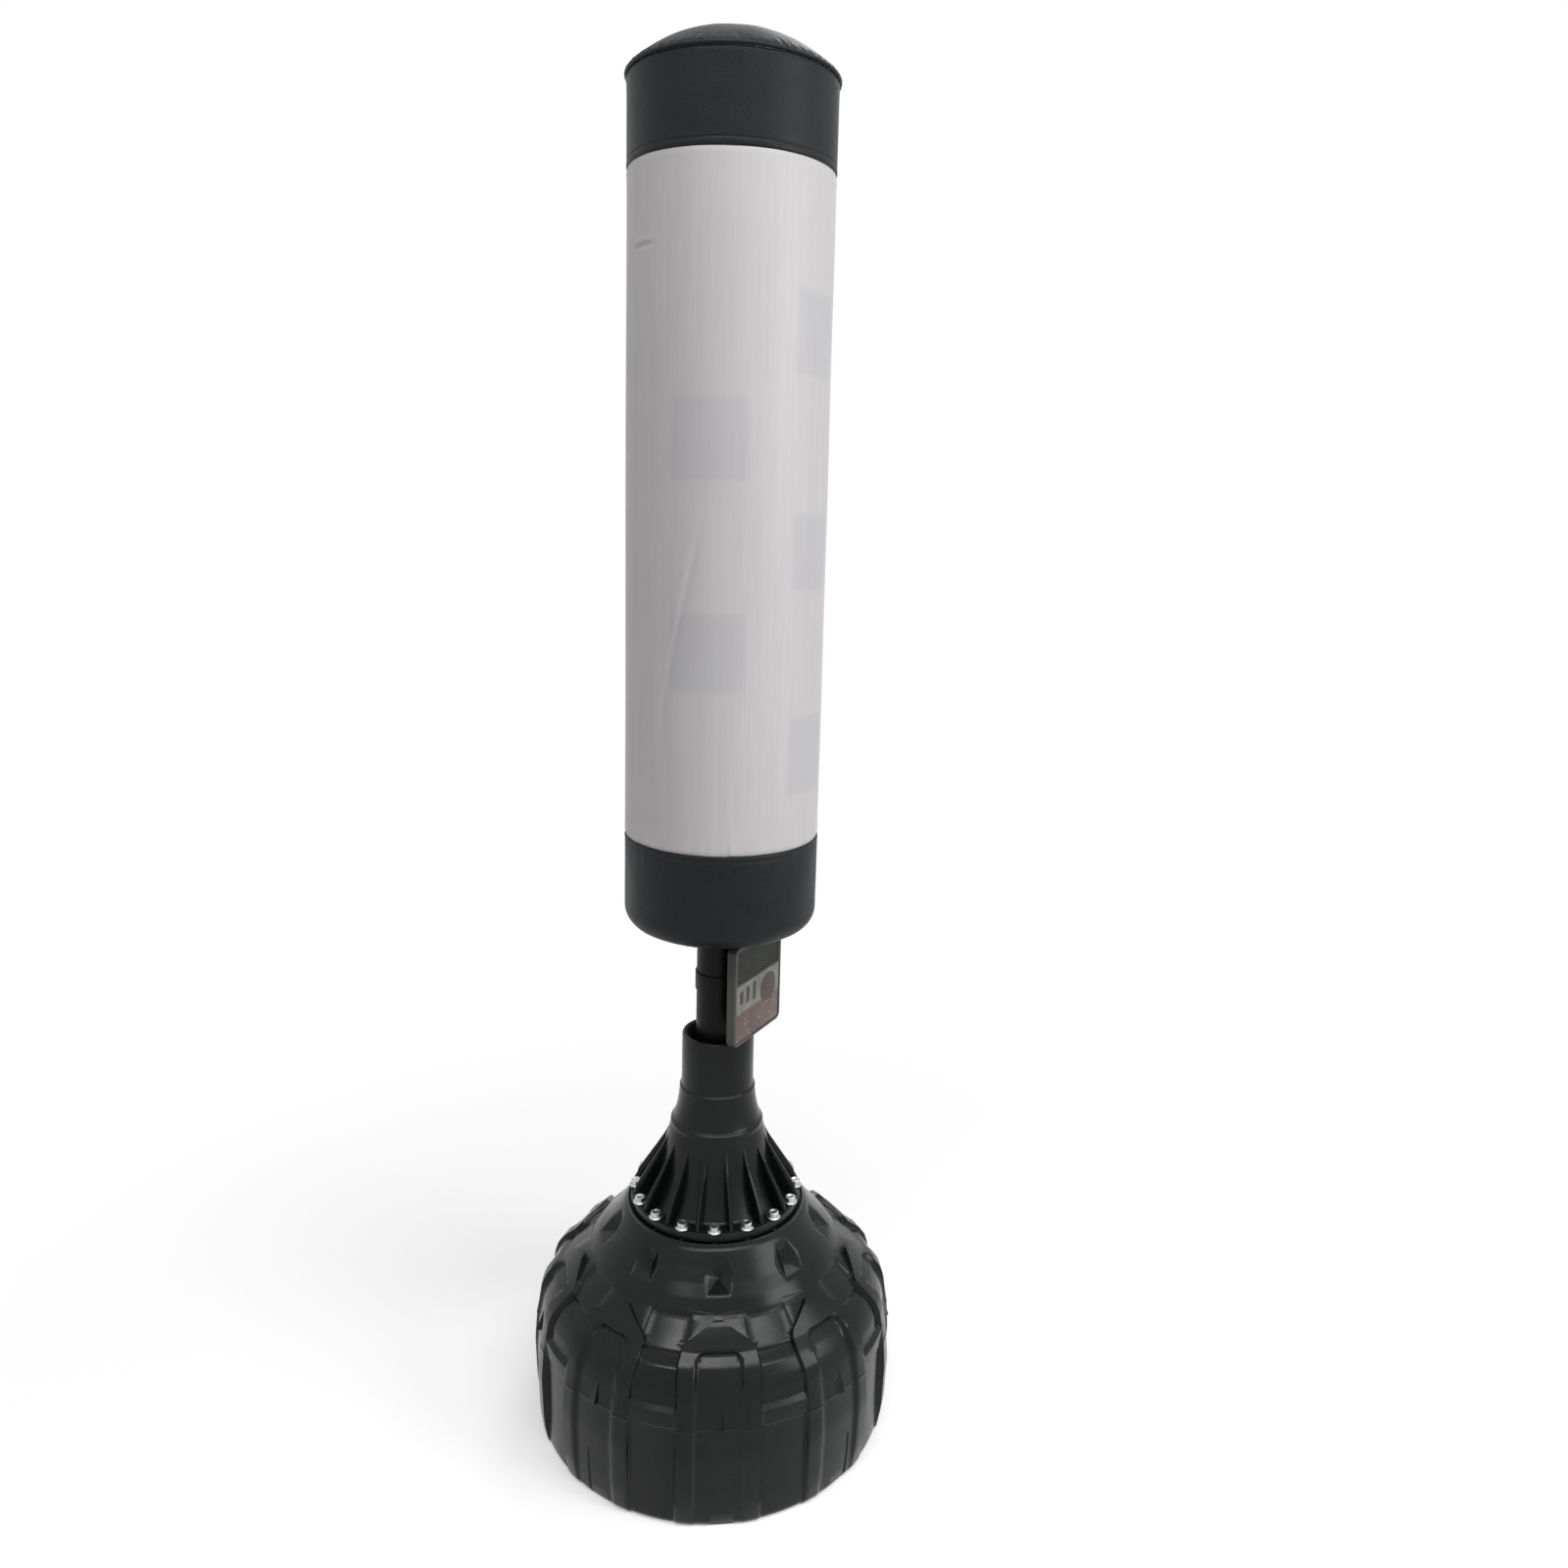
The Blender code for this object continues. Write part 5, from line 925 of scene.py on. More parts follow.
# The top's rim lies at this height, and its dome falls away from the middle by this power of the radius.
DOME_Z, DOME_POWER = 1.7405, 2.4
pad_top = [(PAD_R * s, DOME_Z + PAD_CROWN * (1 - s ** DOME_POWER)) for s in np.linspace(1.0, 0.0, 16)]
pad = [(0.0, PAD_LOW), (PAD_R - 0.0020, PAD_LOW), (PAD_R, PAD_LOW + 0.0024)] + pad_top
crown_pad = piece("crown_pad", lathe("crown_pad", pad, 96, 0, closed=False), foam, "post", "pale_foam",
                  "top_pad")


# Cover: lower band, sleeve and upper band
# A sewn tube in three parts: coated black fabric below and above, pale polyester satin between, each hem
# turned in and stitched. It is drawn tight over the felt, so it shows only small puckers at the hems and a
# few faint creases.
BAG_LOW, SLEEVE_LOW, SLEEVE_HIGH, BAND_HIGH = 0.700, 0.825, 1.633, 1.735
BAG_R = 0.1256
CLOTH_COLUMNS = 256
SATIN_THICK, BAND_THICK = 0.0016, 0.0018
rng = np.random.RandomState(7)


def waves(angle, height, count, reach_mm, tall_mm, seed):
    """Soft unevenness of about unit height that closes round the bag, with spots of this width and height."""
    local = np.random.RandomState(seed)
    out = np.zeros_like(angle * height)
    for _ in range(count):
        turns = max(1, int(round(math.tau * BAG_R * 1000 / (reach_mm * local.uniform(0.7, 1.6)))))
        rise = local.uniform(-1, 1) * math.tau / tall_mm
        out = out + np.sin(turns * angle + rise * height * 1000 + local.uniform(0, math.tau))
    return out / math.sqrt(count)


def tucks(angle, places, widths):
    """Narrow ridges at these azimuths in degrees."""
    out = np.zeros_like(angle)
    degrees = np.degrees(angle)
    for place, width in zip(places, widths):
        off = (degrees - place + 180) % 360 - 180
        out = out + np.exp(-(off / width) ** 2)
    return out


def ring_points(rings, angles):
    """The points of rings round the bag's axis, each ring with its radii and heights at these azimuths."""
    return [(r * math.sin(a), -r * math.cos(a), z)
            for radii, heights in rings for r, a, z in zip(radii, angles, heights)]


def cloth_tube(name, levels, radius_of, thick):
    """A closed shell round the bag: an outer skin whose radius varies, and a smooth inner one."""
    angle = np.linspace(-math.pi, math.pi, CLOTH_COLUMNS, endpoint=False)[None, :]
    rows = []
    for level in levels:
        radius, z = radius_of(angle, level)
        rows.append((radius[0] * np.ones(CLOTH_COLUMNS), z * np.ones(CLOTH_COLUMNS)))
    rows += [(rows[-1][0] - thick, rows[-1][1]), (rows[0][0] - thick, rows[0][1])]
    faces = grid_faces(len(rows), CLOTH_COLUMNS, rows_too=True)
    return mesh_from(name, ring_points(rows, angle[0]), faces, 50.0)


def near(value, middle, width):
    """One at the middle, and close to none beyond the width."""
    return np.exp(-((value - middle) / width) ** 2)


# The puckers along the sleeve's hems, in degrees. Sixteen of the lower ones crowd together on the left.
HEM_TUCKS, CROWDED_TUCKS, TOP_TUCKS = 70, 16, 46
hem_places = rng.uniform(-180, 180, HEM_TUCKS)
hem_places[:CROWDED_TUCKS] = rng.uniform(-62, -12, CROWDED_TUCKS)
hem_widths = rng.uniform(0.7, 1.8, HEM_TUCKS)
top_places = rng.uniform(-180, 180, TOP_TUCKS)
top_widths = rng.uniform(0.8, 2.2, TOP_TUCKS)
SLEEVE_MM, SLEEVE_SWELL = 125.3, 0.5
# The long crease slants between two heights, and the short one lies level.
CREASE_LOW, CREASE_HIGH, CREASE_START, CREASE_TURN, CREASE_LEAN = 0.92, 1.23, 1.20, -13, 25
SHORT_AT, SHORT_Z = -51, 1.535


def sleeve_radius(angle, z):
    """The satin sleeve: tucked in and puckered at its hems, with a long slanting crease and a short one."""
    degrees = np.degrees(angle)
    low, high = (z - SLEEVE_LOW) * 1000, (SLEEVE_HIGH - z) * 1000
    rise = (z - SLEEVE_LOW) / (SLEEVE_HIGH - SLEEVE_LOW)
    r = SLEEVE_MM + SLEEVE_SWELL * math.sin(math.pi * rise) + 0 * angle
    r = r - 1.0 * math.exp(-(low / 3.0) ** 2) - 0.9 * math.exp(-(high / 3.0) ** 2)
    r = r + 0.9 * tucks(angle, hem_places, hem_widths) * math.exp(-low / 15) * min(1.0, low / 2.5)
    r = r + 0.35 * tucks(angle, top_places, top_widths) * math.exp(-high / 12) * min(1.0, high / 2.5)
    r = r + 0.16 * waves(angle, z, 7, 120, 260, 3) + 0.015 * waves(angle, z, 7, 26, 420, 5)
    slant = CREASE_TURN - CREASE_LEAN * (CREASE_START - z) / 0.25
    if CREASE_LOW < z < CREASE_HIGH:
        fade = smooth_share((z - CREASE_LOW) / 0.05) * smooth_share((CREASE_HIGH - z) / 0.06)
        r = r + fade * (-1.2 * near(degrees, slant, 1.4) + 0.5 * near(degrees, slant - 3.4, 2.4))
    along = (degrees - SHORT_AT) / 8
    fold = -1.7 * near(z, SHORT_Z + 0.0006 * along, 0.0024) + 0.8 * near(z, SHORT_Z + 0.006, 0.004)
    return r / 1000 + 0.001 * np.exp(-along ** 4) * fold, z


def woven_satin():
    """Polyester satin: off-white, with a soft sheen, a fine weave, faint slubs and cooler plain squares."""
    made, tree, shader, place = material("polyester_satin", "c5c3c4", 0.55, IOR=1.5, Sheen_Weight=0.25,
                                         Sheen_Roughness=0.4)
    weave = noise(tree, place, 2.2, 2.0, 0.6, (1.0, 1.0, 26.0))
    slub = noise(tree, place, 9.0, 3.0, 0.6, (1.0, 1.0, 30.0))
    cloud = noise(tree, place, 240.0, 3.0, 0.5)
    colour = blended(tree, span(tree, slub, 0.35, 0.7, 0.0, 1.0), "c1bebf", "c5c3c4")
    colour = blended(tree, span(tree, weave, 0.4, 0.65, 0.0, 0.3), colour, "cccacb")
    colour = blended(tree, span(tree, cloud, 0.35, 0.7, 0.0, 0.35), colour, "bfb7bb")
    axes = put(tree, "ShaderNodeSeparateXYZ", {0: place}).outputs
    flipped = put(tree, "ShaderNodeMath", {0: axes[1], 1: -1.0}, operation="MULTIPLY").outputs[0]
    azimuth = put(tree, "ShaderNodeMath", {0: axes[0], 1: flipped}, operation="ARCTAN2").outputs[0]

    def inside(value, low, high, soft):
        """One between two values, with soft ends."""
        up = span(tree, value, low - soft, low + soft, 0.0, 1.0)
        down = span(tree, value, high - soft, high + soft, 1.0, 0.0)
        return put(tree, "ShaderNodeMath", {0: up, 1: down}, operation="MULTIPLY").outputs[0]

    # Two columns of squares: their azimuths in degrees, and each one's foot and top in metres.
    squares = None
    for left, right, heights in ((-28, 14, ((1.272, 1.365), (1.025, 1.118))),
                                 (42, 78, ((1.395, 1.490), (1.145, 1.235), (0.895, 0.990)))):
        across = inside(azimuth, math.radians(left), math.radians(right), 0.035)
        for low, high in heights:
            one = put(tree, "ShaderNodeMath", {0: across, 1: inside(axes[2], low, high, 0.004)},
                      operation="MULTIPLY").outputs[0]
            if squares is not None:
                one = put(tree, "ShaderNodeMath", {0: squares, 1: one}, operation="MAXIMUM").outputs[0]
            squares = one
    faint = put(tree, "ShaderNodeMath", {0: squares, 1: 0.34}, operation="MULTIPLY").outputs[0]
    tree.links.new(blended(tree, faint, colour, "a9abb2"), shader.inputs["Base Color"])
    first = bump(tree, shader, weave, 0.05)
    bump(tree, shader, slub, 0.06, first)
    return made


def coated_leather():
    """Coated black fabric with a leather grain: a satin skin of small pebbles, duller in the creases."""
    made, tree, shader, place = material("grained_coated_fabric", "111416", 0.5, IOR=1.5,
                                         Specular_IOR_Level=0.2)
    # Real pebbles are about 1 mm. They are drawn at 2.2 mm so that they show.
    pebble = put(tree, "ShaderNodeTexVoronoi", {"Vector": place, "Scale": 1000 / 2.2},
                 feature="F1").outputs["Distance"]
    cloud = noise(tree, place, 70.0, 4.0, 0.6)
    colour = blended(tree, span(tree, pebble, 0.15, 0.65, 0.0, 1.0), "171b1e", "0d1012")
    tree.links.new(blended(tree, span(tree, cloud, 0.35, 0.7, 0.0, 0.5), colour, "1b1f22"),
                   shader.inputs["Base Color"])
    tree.links.new(span(tree, cloud, 0.3, 0.7, 0.42, 0.56), shader.inputs["Roughness"])
    first = bump(tree, shader, pebble, 0.12)
    bump(tree, shader, noise(tree, place, 12.0, 3.0), 0.35, first)
    return made


satin = woven_satin()
leather = coated_leather()
# Rows of the sleeve lie closest at its hems and at the short crease.
SHORT_LOW, SHORT_HIGH = 1.515, 1.556
levels = [*np.linspace(SLEEVE_LOW, SLEEVE_LOW + 0.04, 22),
          *np.linspace(SLEEVE_LOW + 0.04, SHORT_LOW, 76)[1:],
          *np.linspace(SHORT_LOW, SHORT_HIGH, 21)[1:],
          *np.linspace(SHORT_HIGH, SLEEVE_HIGH - 0.03, 8)[1:],
          *np.linspace(SLEEVE_HIGH - 0.03, SLEEVE_HIGH, 15)[1:]]
sleeve = piece("sleeve_cloth", cloth_tube("sleeve_cloth", levels, sleeve_radius, SATIN_THICK), satin, "post",
               "pale_satin", "cover_sleeve")

CORNER = 0.0275
POST_HOLE = 0.0306
SEAM_AT, BACK_SEAM_AT, STITCH_DROP = -16.0, -160, 9.0


def lower_radius(angle, level):
    """The lower band, from the post's hole over the round corner and up to the hem under the sleeve."""
    degrees = np.degrees(angle)
    flat = BAG_R - CORNER
    if level < 1:
        r, z = POST_HOLE + (flat - POST_HOLE) * level, BAG_LOW
        out, lift = 0.0, -0.0010 * math.sin(math.pi * level)
    elif level < 2:
        turn = math.radians(90 * (level - 1))
        r, z = flat + CORNER * math.sin(turn), BAG_LOW + CORNER * (1 - math.cos(turn))
        out, lift = math.sin(turn), -math.cos(turn)
    else:
        r, z = BAG_R, BAG_LOW + CORNER + (SLEEVE_LOW - 0.0003 - BAG_LOW - CORNER) * (level - 2)
        out, lift = 1.0, 0.0
    below = (SLEEVE_LOW - z) * 1000
    seam = (degrees - SEAM_AT) * math.radians(r * 1000)
    dent = -0.75 * near(seam, 0, 1.1) + 0.35 * near(seam, -3.5, 2.2) + 0.35 * near(seam, 3.5, 2.2)
    dent = dent + 0.16 * waves(angle, z, 6, 70, 90, 11) * (1.0 if level > 0.6 else 0.4)
    if level >= 1:
        dent = dent - 0.7 * near(below, STITCH_DROP, 0.9) - 1.1 * near(below, 0.0, 1.4)
        dent = dent + 0.35 * near(below, STITCH_DROP / 2, 3.4)
        dent = dent + 0.22 * tucks(angle, hem_places, hem_widths * 1.2) * math.exp(-abs(below - 11) / 8)
    shift = dent / 1000
    return r + shift * (out if level >= 1 else 0.0), z + (shift * lift if level >= 1 else lift) + 0 * angle


def cloth_rings(name, levels, radius_of, thick):
    """Like cloth_tube, but its inner skin follows the outer one all the way."""
    angle = np.linspace(-math.pi, math.pi, CLOTH_COLUMNS, endpoint=False)[None, :]
    outer = [[np.broadcast_to(v, (1, CLOTH_COLUMNS))[0] for v in radius_of(angle, level)] for level in levels]
    inner = []
    for i, (radii, heights) in enumerate(outer):
        a, b = outer[max(i - 1, 0)], outer[min(i + 1, len(outer) - 1)]
        run, rise = np.mean(b[0] - a[0]), np.mean(b[1] - a[1])
        long = math.hypot(run, rise) or 1.0
        inner.append((radii - thick * rise / long, heights + thick * run / long))
    faces = grid_faces(len(outer) * 2, CLOTH_COLUMNS, rows_too=True)
    return mesh_from(name, ring_points(outer + inner[::-1], angle[0]), faces, 60.0)


low_levels = [*np.linspace(0, 1, 14), *np.linspace(1, 2, 16)[1:], *(2 + np.linspace(0, 0.8, 22))[1:],
              *(2 + np.linspace(0.8, 1.0, 26))[1:]]
lower = piece("lower_band", cloth_rings("lower_band", low_levels, lower_radius, BAND_THICK), leather, "post",
              "black_coated_leather", "cover_bottom")


def upper_radius(angle, z):
    """The upper band: a turned hem over the sleeve, and slight folds that gather towards the piping."""
    above, under = (z - SLEEVE_HIGH) * 1000, (BAND_HIGH - z) * 1000
    r = BAG_R * 1000 - 0.9 * np.exp(-(above / 1.4) ** 2)
    r = r + 0.4 * near(above, STITCH_DROP / 2, 3.4) - 0.75 * near(above, STITCH_DROP, 0.9)
    r = r + 0.12 * waves(angle, z, 6, 80, 110, 17)
    r = r + 0.25 * tucks(angle, top_places, top_widths * 1.3) * np.exp(-under / 10)
    r = r - 0.8 * np.exp(-(under / 2.0) ** 2) + 0.3 * np.exp(-(under / 18) ** 2)
    seam = (np.degrees(angle) - BACK_SEAM_AT) * math.radians(BAG_R * 1000)
    return (r - 0.6 * near(seam, 0, 1.1)) / 1000, z


high_levels = [*np.linspace(SLEEVE_HIGH + 0.0003, SLEEVE_HIGH + 0.014, 26),
               *np.linspace(SLEEVE_HIGH + 0.014, BAND_HIGH - 0.0003, 46)[1:]]
upper = piece("upper_band", cloth_tube("upper_band", high_levels, upper_radius, BAND_THICK), leather, "post",
              "black_coated_leather", "cover_top_band")

# Stitches: one short round of thread, repeated along a circle.
thread = bpy.data.materials.new("bonded_polyester_thread")
thread.use_nodes = True
tree = thread.node_tree
shader = tree.nodes["Principled BSDF"]
shader.inputs["Roughness"].default_value = 0.6
place = put(tree, "ShaderNodeTexCoord").outputs["Object"]
strands = noise(tree, place, 0.8, 1.0)
tree.links.new(blended(tree, strands, "1d1f20", "3a3d3e"), shader.inputs["Base Color"])
bump(tree, shader, strands, 0.05)
stitch_tree, given = new_tree("stitches_round", (("Radius", "Float"), ("Height", "Float"), ("Count", "Int"),
                                                 ("Finish", "Material")))
circle = put(stitch_tree, "GeometryNodeCurvePrimitiveCircle",
             {"Resolution": given["Count"], "Radius": given["Radius"]})
spots = put(stitch_tree, "GeometryNodeCurveToPoints", {"Curve": circle.outputs[0], "Count": given["Count"]},
            mode="COUNT")
raised = put(stitch_tree, "ShaderNodeCombineXYZ", {"Z": given["Height"]})
lifted = put(stitch_tree, "GeometryNodeSetPosition",
             {"Geometry": spots.outputs["Points"], "Offset": raised.outputs[0]})
placed = put(stitch_tree, "GeometryNodeInstanceOnPoints",
             {"Points": lifted.outputs[0], "Instance": given["Geometry"],
              "Rotation": spots.outputs["Rotation"]})
ended(stitch_tree, placed.outputs[0], given["Finish"])
# Rings of one stitch: how far along it each lies, its half width and its half height in mm.
stitch_rows = ((-1.0, 0.0, 0.0), (-0.86, 0.26, 0.16), (-0.4, 0.36, 0.26), (0.4, 0.36, 0.26),
               (0.86, 0.26, 0.16), (1.0, 0.0, 0.0))
STITCH_PITCH, STITCH_HALF = 0.0040, 1.35
stitch_points = [(wide * math.cos(a) / 1000, tall * math.sin(a) / 1000, STITCH_HALF * along / 1000)
                 for along, wide, tall in stitch_rows for a in np.linspace(0, math.tau, 6, endpoint=False)]
one_stitch = mesh_from("one_stitch", stitch_points, grid_faces(len(stitch_rows), 6))
for name, radius, height in (("lower_stitches", 0.1251, SLEEVE_LOW - STITCH_DROP / 1000),
                             ("upper_stitches", 0.1252, SLEEVE_HIGH + STITCH_DROP / 1000)):
    around_bag = grown(stitch_tree, one_stitch, radius=radius, height=height,
                       count=int(math.tau * radius / STITCH_PITCH), finish=thread)
    piece(name, around_bag, thread, "post", "black_coated_leather")


# Piping and gathered top
# A corded piping is sewn into the rim where the upper band meets the top, and the top is a disc of coated
# fabric gathered in small pleats on that seam and domed by the pad under it.
PIPING_R, PIPING_Z, PIPING_THICK, PIPING_PUCKER = 0.1262, BAND_HIGH + 0.0026, 0.0024, 0.00012


def piping():
    """A ring of covered cord, slightly puckered where the gathers press on it."""
    columns, ring = 360, 14
    points = []
    for j in range(columns):
        a = math.tau * j / columns
        fold = PIPING_PUCKER * math.sin(58 * a + 2 * math.sin(7 * a))
        for i in range(ring):
            t = math.tau * i / ring
            r = PIPING_THICK + fold * (1 + math.cos(t)) / 2
            far = PIPING_R + r * math.cos(t)
            points.append((far * math.sin(a), far * -math.cos(a), PIPING_Z + r * math.sin(t)))
    faces = [(j * ring + i, j * ring + (i + 1) % ring, (j + 1) % columns * ring + (i + 1) % ring,
              (j + 1) % columns * ring + i) for j in range(columns) for i in range(ring)]
    return mesh_from("rim_piping", points, faces)


piece("rim_piping", piping(), leather, "post", "black_coated_leather", "top_piping")
TOP_RIM, TOP_CROWN, TOP_THICK = 0.1274, 0.0465, 0.0018
PLEATS = 64
pleat_rng = np.random.RandomState(23)
pleat_places = np.linspace(-180, 180, PLEATS, endpoint=False) + pleat_rng.uniform(-1.6, 1.6, PLEATS)
pleat_widths = pleat_rng.uniform(0.8, 1.9, PLEATS)
pleat_depths = pleat_rng.uniform(0.5, 1.35, PLEATS)
pleat_lengths = pleat_rng.uniform(0.06, 0.17, PLEATS)


def gathered_top():
    """The domed top, pleated towards its rim, as a closed skin 1.8 mm thick."""
    columns = 320
    shares = np.concatenate([[0.0, 0.03], np.linspace(0.08, 0.72, 18), np.linspace(0.735, 1.0, 34)])
    angle = np.linspace(-math.pi, math.pi, columns, endpoint=False)
    degrees = np.degrees(angle)
    outer, inner = [], []
    for s in shares:
        z = DOME_Z + TOP_CROWN * (1 - s ** DOME_POWER)
        r = TOP_RIM * s
        slope = DOME_POWER * TOP_CROWN / TOP_RIM * s ** (DOME_POWER - 1)
        out, up = slope / math.hypot(slope, 1), 1 / math.hypot(slope, 1)
        fold = np.zeros(columns)
        for place, width, depth, reach in zip(pleat_places, pleat_widths, pleat_depths, pleat_lengths):
            off = (degrees - place + 180) % 360 - 180
            fade = smooth_share((s - (1 - reach)) / reach)
            fold -= 1.5 * depth * fade * np.exp(-(off / width) ** 2)
            fold += 0.5 * depth * fade * np.exp(-((np.abs(off) - 2.0 * width) / width) ** 2)
        fold += 0.5 * waves(angle, 0.0, 6, 90, 100, 29) * s * s
        fold += -1.0 * math.exp(-((1 - s) / 0.012) ** 2)
        outer.append((r + fold / 1000 * out, z + fold / 1000 * up))
        inner.append((np.full(columns, max(r - TOP_THICK * out * s, 0.0)),
                      np.full(columns, z - TOP_THICK * (0.4 + 0.6 * up)) - 0.0012 * s))
    points = ring_points(outer + inner[::-1], angle)
    return mesh_from("gathered_top", points, grid_faces(2 * len(shares), columns), 55.0)


top = piece("gathered_top", gathered_top(), leather, "post", "black_coated_leather", "top_cap")


# Zip
# A coil zip in woven tape runs up the back of the cover, closed, with a die-cast slider at its foot and a
# pull that swings on the slider's bail.
def woven_tape():
    """Herringbone polyester tape: matt, near black, with fine slanting threads."""
    made, tree, shader, place = material("woven_zip_tape", "232425", 0.85, Sheen_Weight=0.15)
    # Real threads are 0.4 mm apart. They are drawn at 1.2 mm so that they show.
    threads = put(tree, "ShaderNodeTexWave", {"Vector": place, "Scale": 1000 / 1.2 / math.tau,
                                              "Distortion": 0.6, "Detail": 1.0},
                  bands_direction="DIAGONAL").outputs["Fac"]
    tree.links.new(blended(tree, threads, "191a1b", "303233"), shader.inputs["Base Color"])
    bump(tree, shader, threads, 0.12)
    return made


tape_finish = woven_tape()
cast_zinc = bare_metal("die_cast_zinc", "8d8f91", "6b6d70", 0.34, 0.7)
tape_low, tape_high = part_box("zip_tape")
TAPE_R, TAPE_OUT, TAPE_HALF = 0.1259, 0.1271, 0.0121
half_turn = math.asin(TAPE_HALF / TAPE_OUT)
tape_points = []
tape_turns = np.linspace(math.pi - half_turn, math.pi + half_turn, 33)
heights = np.linspace(tape_low.z, tape_high.z, 130)
for radius_side in (0, 1):
    for z in heights:
        for a in tape_turns:
            off = abs(a - math.pi) / half_turn
            out = TAPE_OUT - 0.0005 * near(off, 0.72, 0.05) - 0.0004 * (off > 0.97)
            r = out if radius_side else TAPE_R
            tape_points.append((r * math.sin(a), -r * math.cos(a), z))
rows, wide = len(heights), len(tape_turns)
tape_faces = grid_faces(rows, wide, False) + grid_faces(rows, wide, False, rows * wide)
edge = [i * wide for i in range(rows)]
for a, b in zip(edge, edge[1:]):
    for shift in (0, wide - 1):
        tape_faces.append((a + shift, b + shift, b + shift + rows * wide, a + shift + rows * wide))
for j in range(wide - 1):
    for start in (0, (rows - 1) * wide):
        tape_faces.append((start + j, start + j + 1, start + j + 1 + rows * wide, start + j + rows * wide))
piece("zip_band", mesh_from("zip_band", tape_points, tape_faces), tape_finish, "post", "woven_zip_tape",
      "zip_tape")

# Coil: one pair of the zip's teeth, the right one a little above the left one, repeated up the tape.
coil_finish, tree, shader, place = material("nylon_zip_coil", "1b1c1d", 0.35, IOR=1.53)
tree.links.new(blended(tree, noise(tree, place, 2.0), "161718", "2e3031"), shader.inputs["Base Color"])
row_tree, given = new_tree("zip_coil", (("Foot", "Vector"), ("Pitch", "Float"), ("Count", "Int"),
                                        ("Finish", "Material")))
rise = put(row_tree, "ShaderNodeCombineXYZ", {"Z": given["Pitch"]})
line = put(row_tree, "GeometryNodeMeshLine",
           {"Count": given["Count"], "Start Location": given["Foot"], "Offset": rise.outputs[0]})
loops = put(row_tree, "GeometryNodeInstanceOnPoints",
            {"Points": line.outputs[0], "Instance": given["Geometry"]})
ended(row_tree, loops.outputs[0], given["Finish"])
# Rings of one tooth in mm: how far across and out each lies, and its radius.
TOOTH_RINGS = ((0.2, 0.75, 0.30), (0.9, 0.95, 0.42), (2.0, 0.80, 0.36), (2.7, 0.35, 0.28))
TOOTH_LIFT, COIL_PITCH, COIL_SUNK, COIL_END = 0.00075, 0.0025, 0.0006, 0.006
tooth_points, tooth_faces = [], []
for side, lift in ((-1, 0.0), (1, TOOTH_LIFT)):
    start = len(tooth_points)
    for x, y, w in TOOTH_RINGS:
        for a in np.linspace(0, math.tau, 6, endpoint=False):
            tooth_points.append((side * x / 1000, y / 1000 + w * math.cos(a) / 1000,
                                 lift + w * math.sin(a) / 1000))
    tooth_faces += grid_faces(len(TOOTH_RINGS), 6, first=start) + end_caps(len(TOOTH_RINGS), 6, start)
one_tooth = mesh_from("zip_tooth", tooth_points, tooth_faces)
coil = grown(row_tree, one_tooth, foot=(0.0, TAPE_OUT - COIL_SUNK, tape_low.z + COIL_END), pitch=COIL_PITCH,
             count=int((tape_high.z - tape_low.z - 2 * COIL_END) / COIL_PITCH), finish=coil_finish)
piece("zip_coil", coil, coil_finish, "post", "woven_zip_tape")


def softened(node, name, edge):
    """A copy of a solid with its edges rounded off."""
    bm = bmesh.new()
    bm.from_mesh(nodes[node].data)
    bmesh.ops.remove_doubles(bm, verts=bm.verts, dist=1e-6)
    bmesh.ops.dissolve_limit(bm, angle_limit=math.radians(2), verts=bm.verts, edges=bm.edges)
    mesh = bpy.data.meshes.new(name)
    bm.to_mesh(mesh)
    bm.free()
    copy = bpy.data.objects.new(name, mesh)
    scene.collection.objects.link(copy)
    round_off = copy.modifiers.new("edges", "BEVEL")
    round_off.width = edge
    round_off.segments = 3
    round_off.limit_method = "ANGLE"
    round_off.angle_limit = math.radians(28)
    round_off.harden_normals = False
    made = plain_mesh(copy)
    bpy.data.objects.remove(copy)
    smoothed(made)
    return made


piece("slider_body", softened("zip_slider", "slider_body", 0.0003), cast_zinc, "zip_slider", "die_cast_zinc",
      "zip_slider")
piece("pull_tab", softened("zip_pull", "pull_tab", 0.00025), cast_zinc, "zip_pull", "die_cast_zinc",
      "zip_pull")


# Panel on the post
# A rounded grey plastic tray held to the post by a steel clamp, with a finely perforated dark sheet in its
# upper part and a smooth printed plate below. The print is kept to plain bands, bars and dots.
PANEL_TURN = math.radians(61.8)
PANEL_MIDDLE, PANEL_BACK, PANEL_FRONT, POCKET_FLOOR = 0.62275, 0.0486, 0.0611, 0.0589
PANEL_SIZE, PANEL_CORNER, PANEL_RIM = (0.1220, 0.1345), 0.0100, 0.0050
PLATE_LOW_Y, PLATE_HIGH_Y, SHEET_LOW_Y, SHEET_HIGH_Y = -0.06195, 0.01465, 0.01495, 0.06195
SHEET_HALF, ROUND_CORNER, TIGHT_CORNER = 0.0557, 0.0048, 0.0008
panel_across = Vector((math.cos(PANEL_TURN), math.sin(PANEL_TURN), 0.0))
panel_out = Vector((math.sin(PANEL_TURN), -math.cos(PANEL_TURN), 0.0))
on_panel = Matrix((panel_across, Vector((0.0, 0.0, 1.0)), panel_out)).transposed().to_4x4()
on_panel.translation = Vector((0.0, 0.0, PANEL_MIDDLE))
CORNER_STEPS = 9


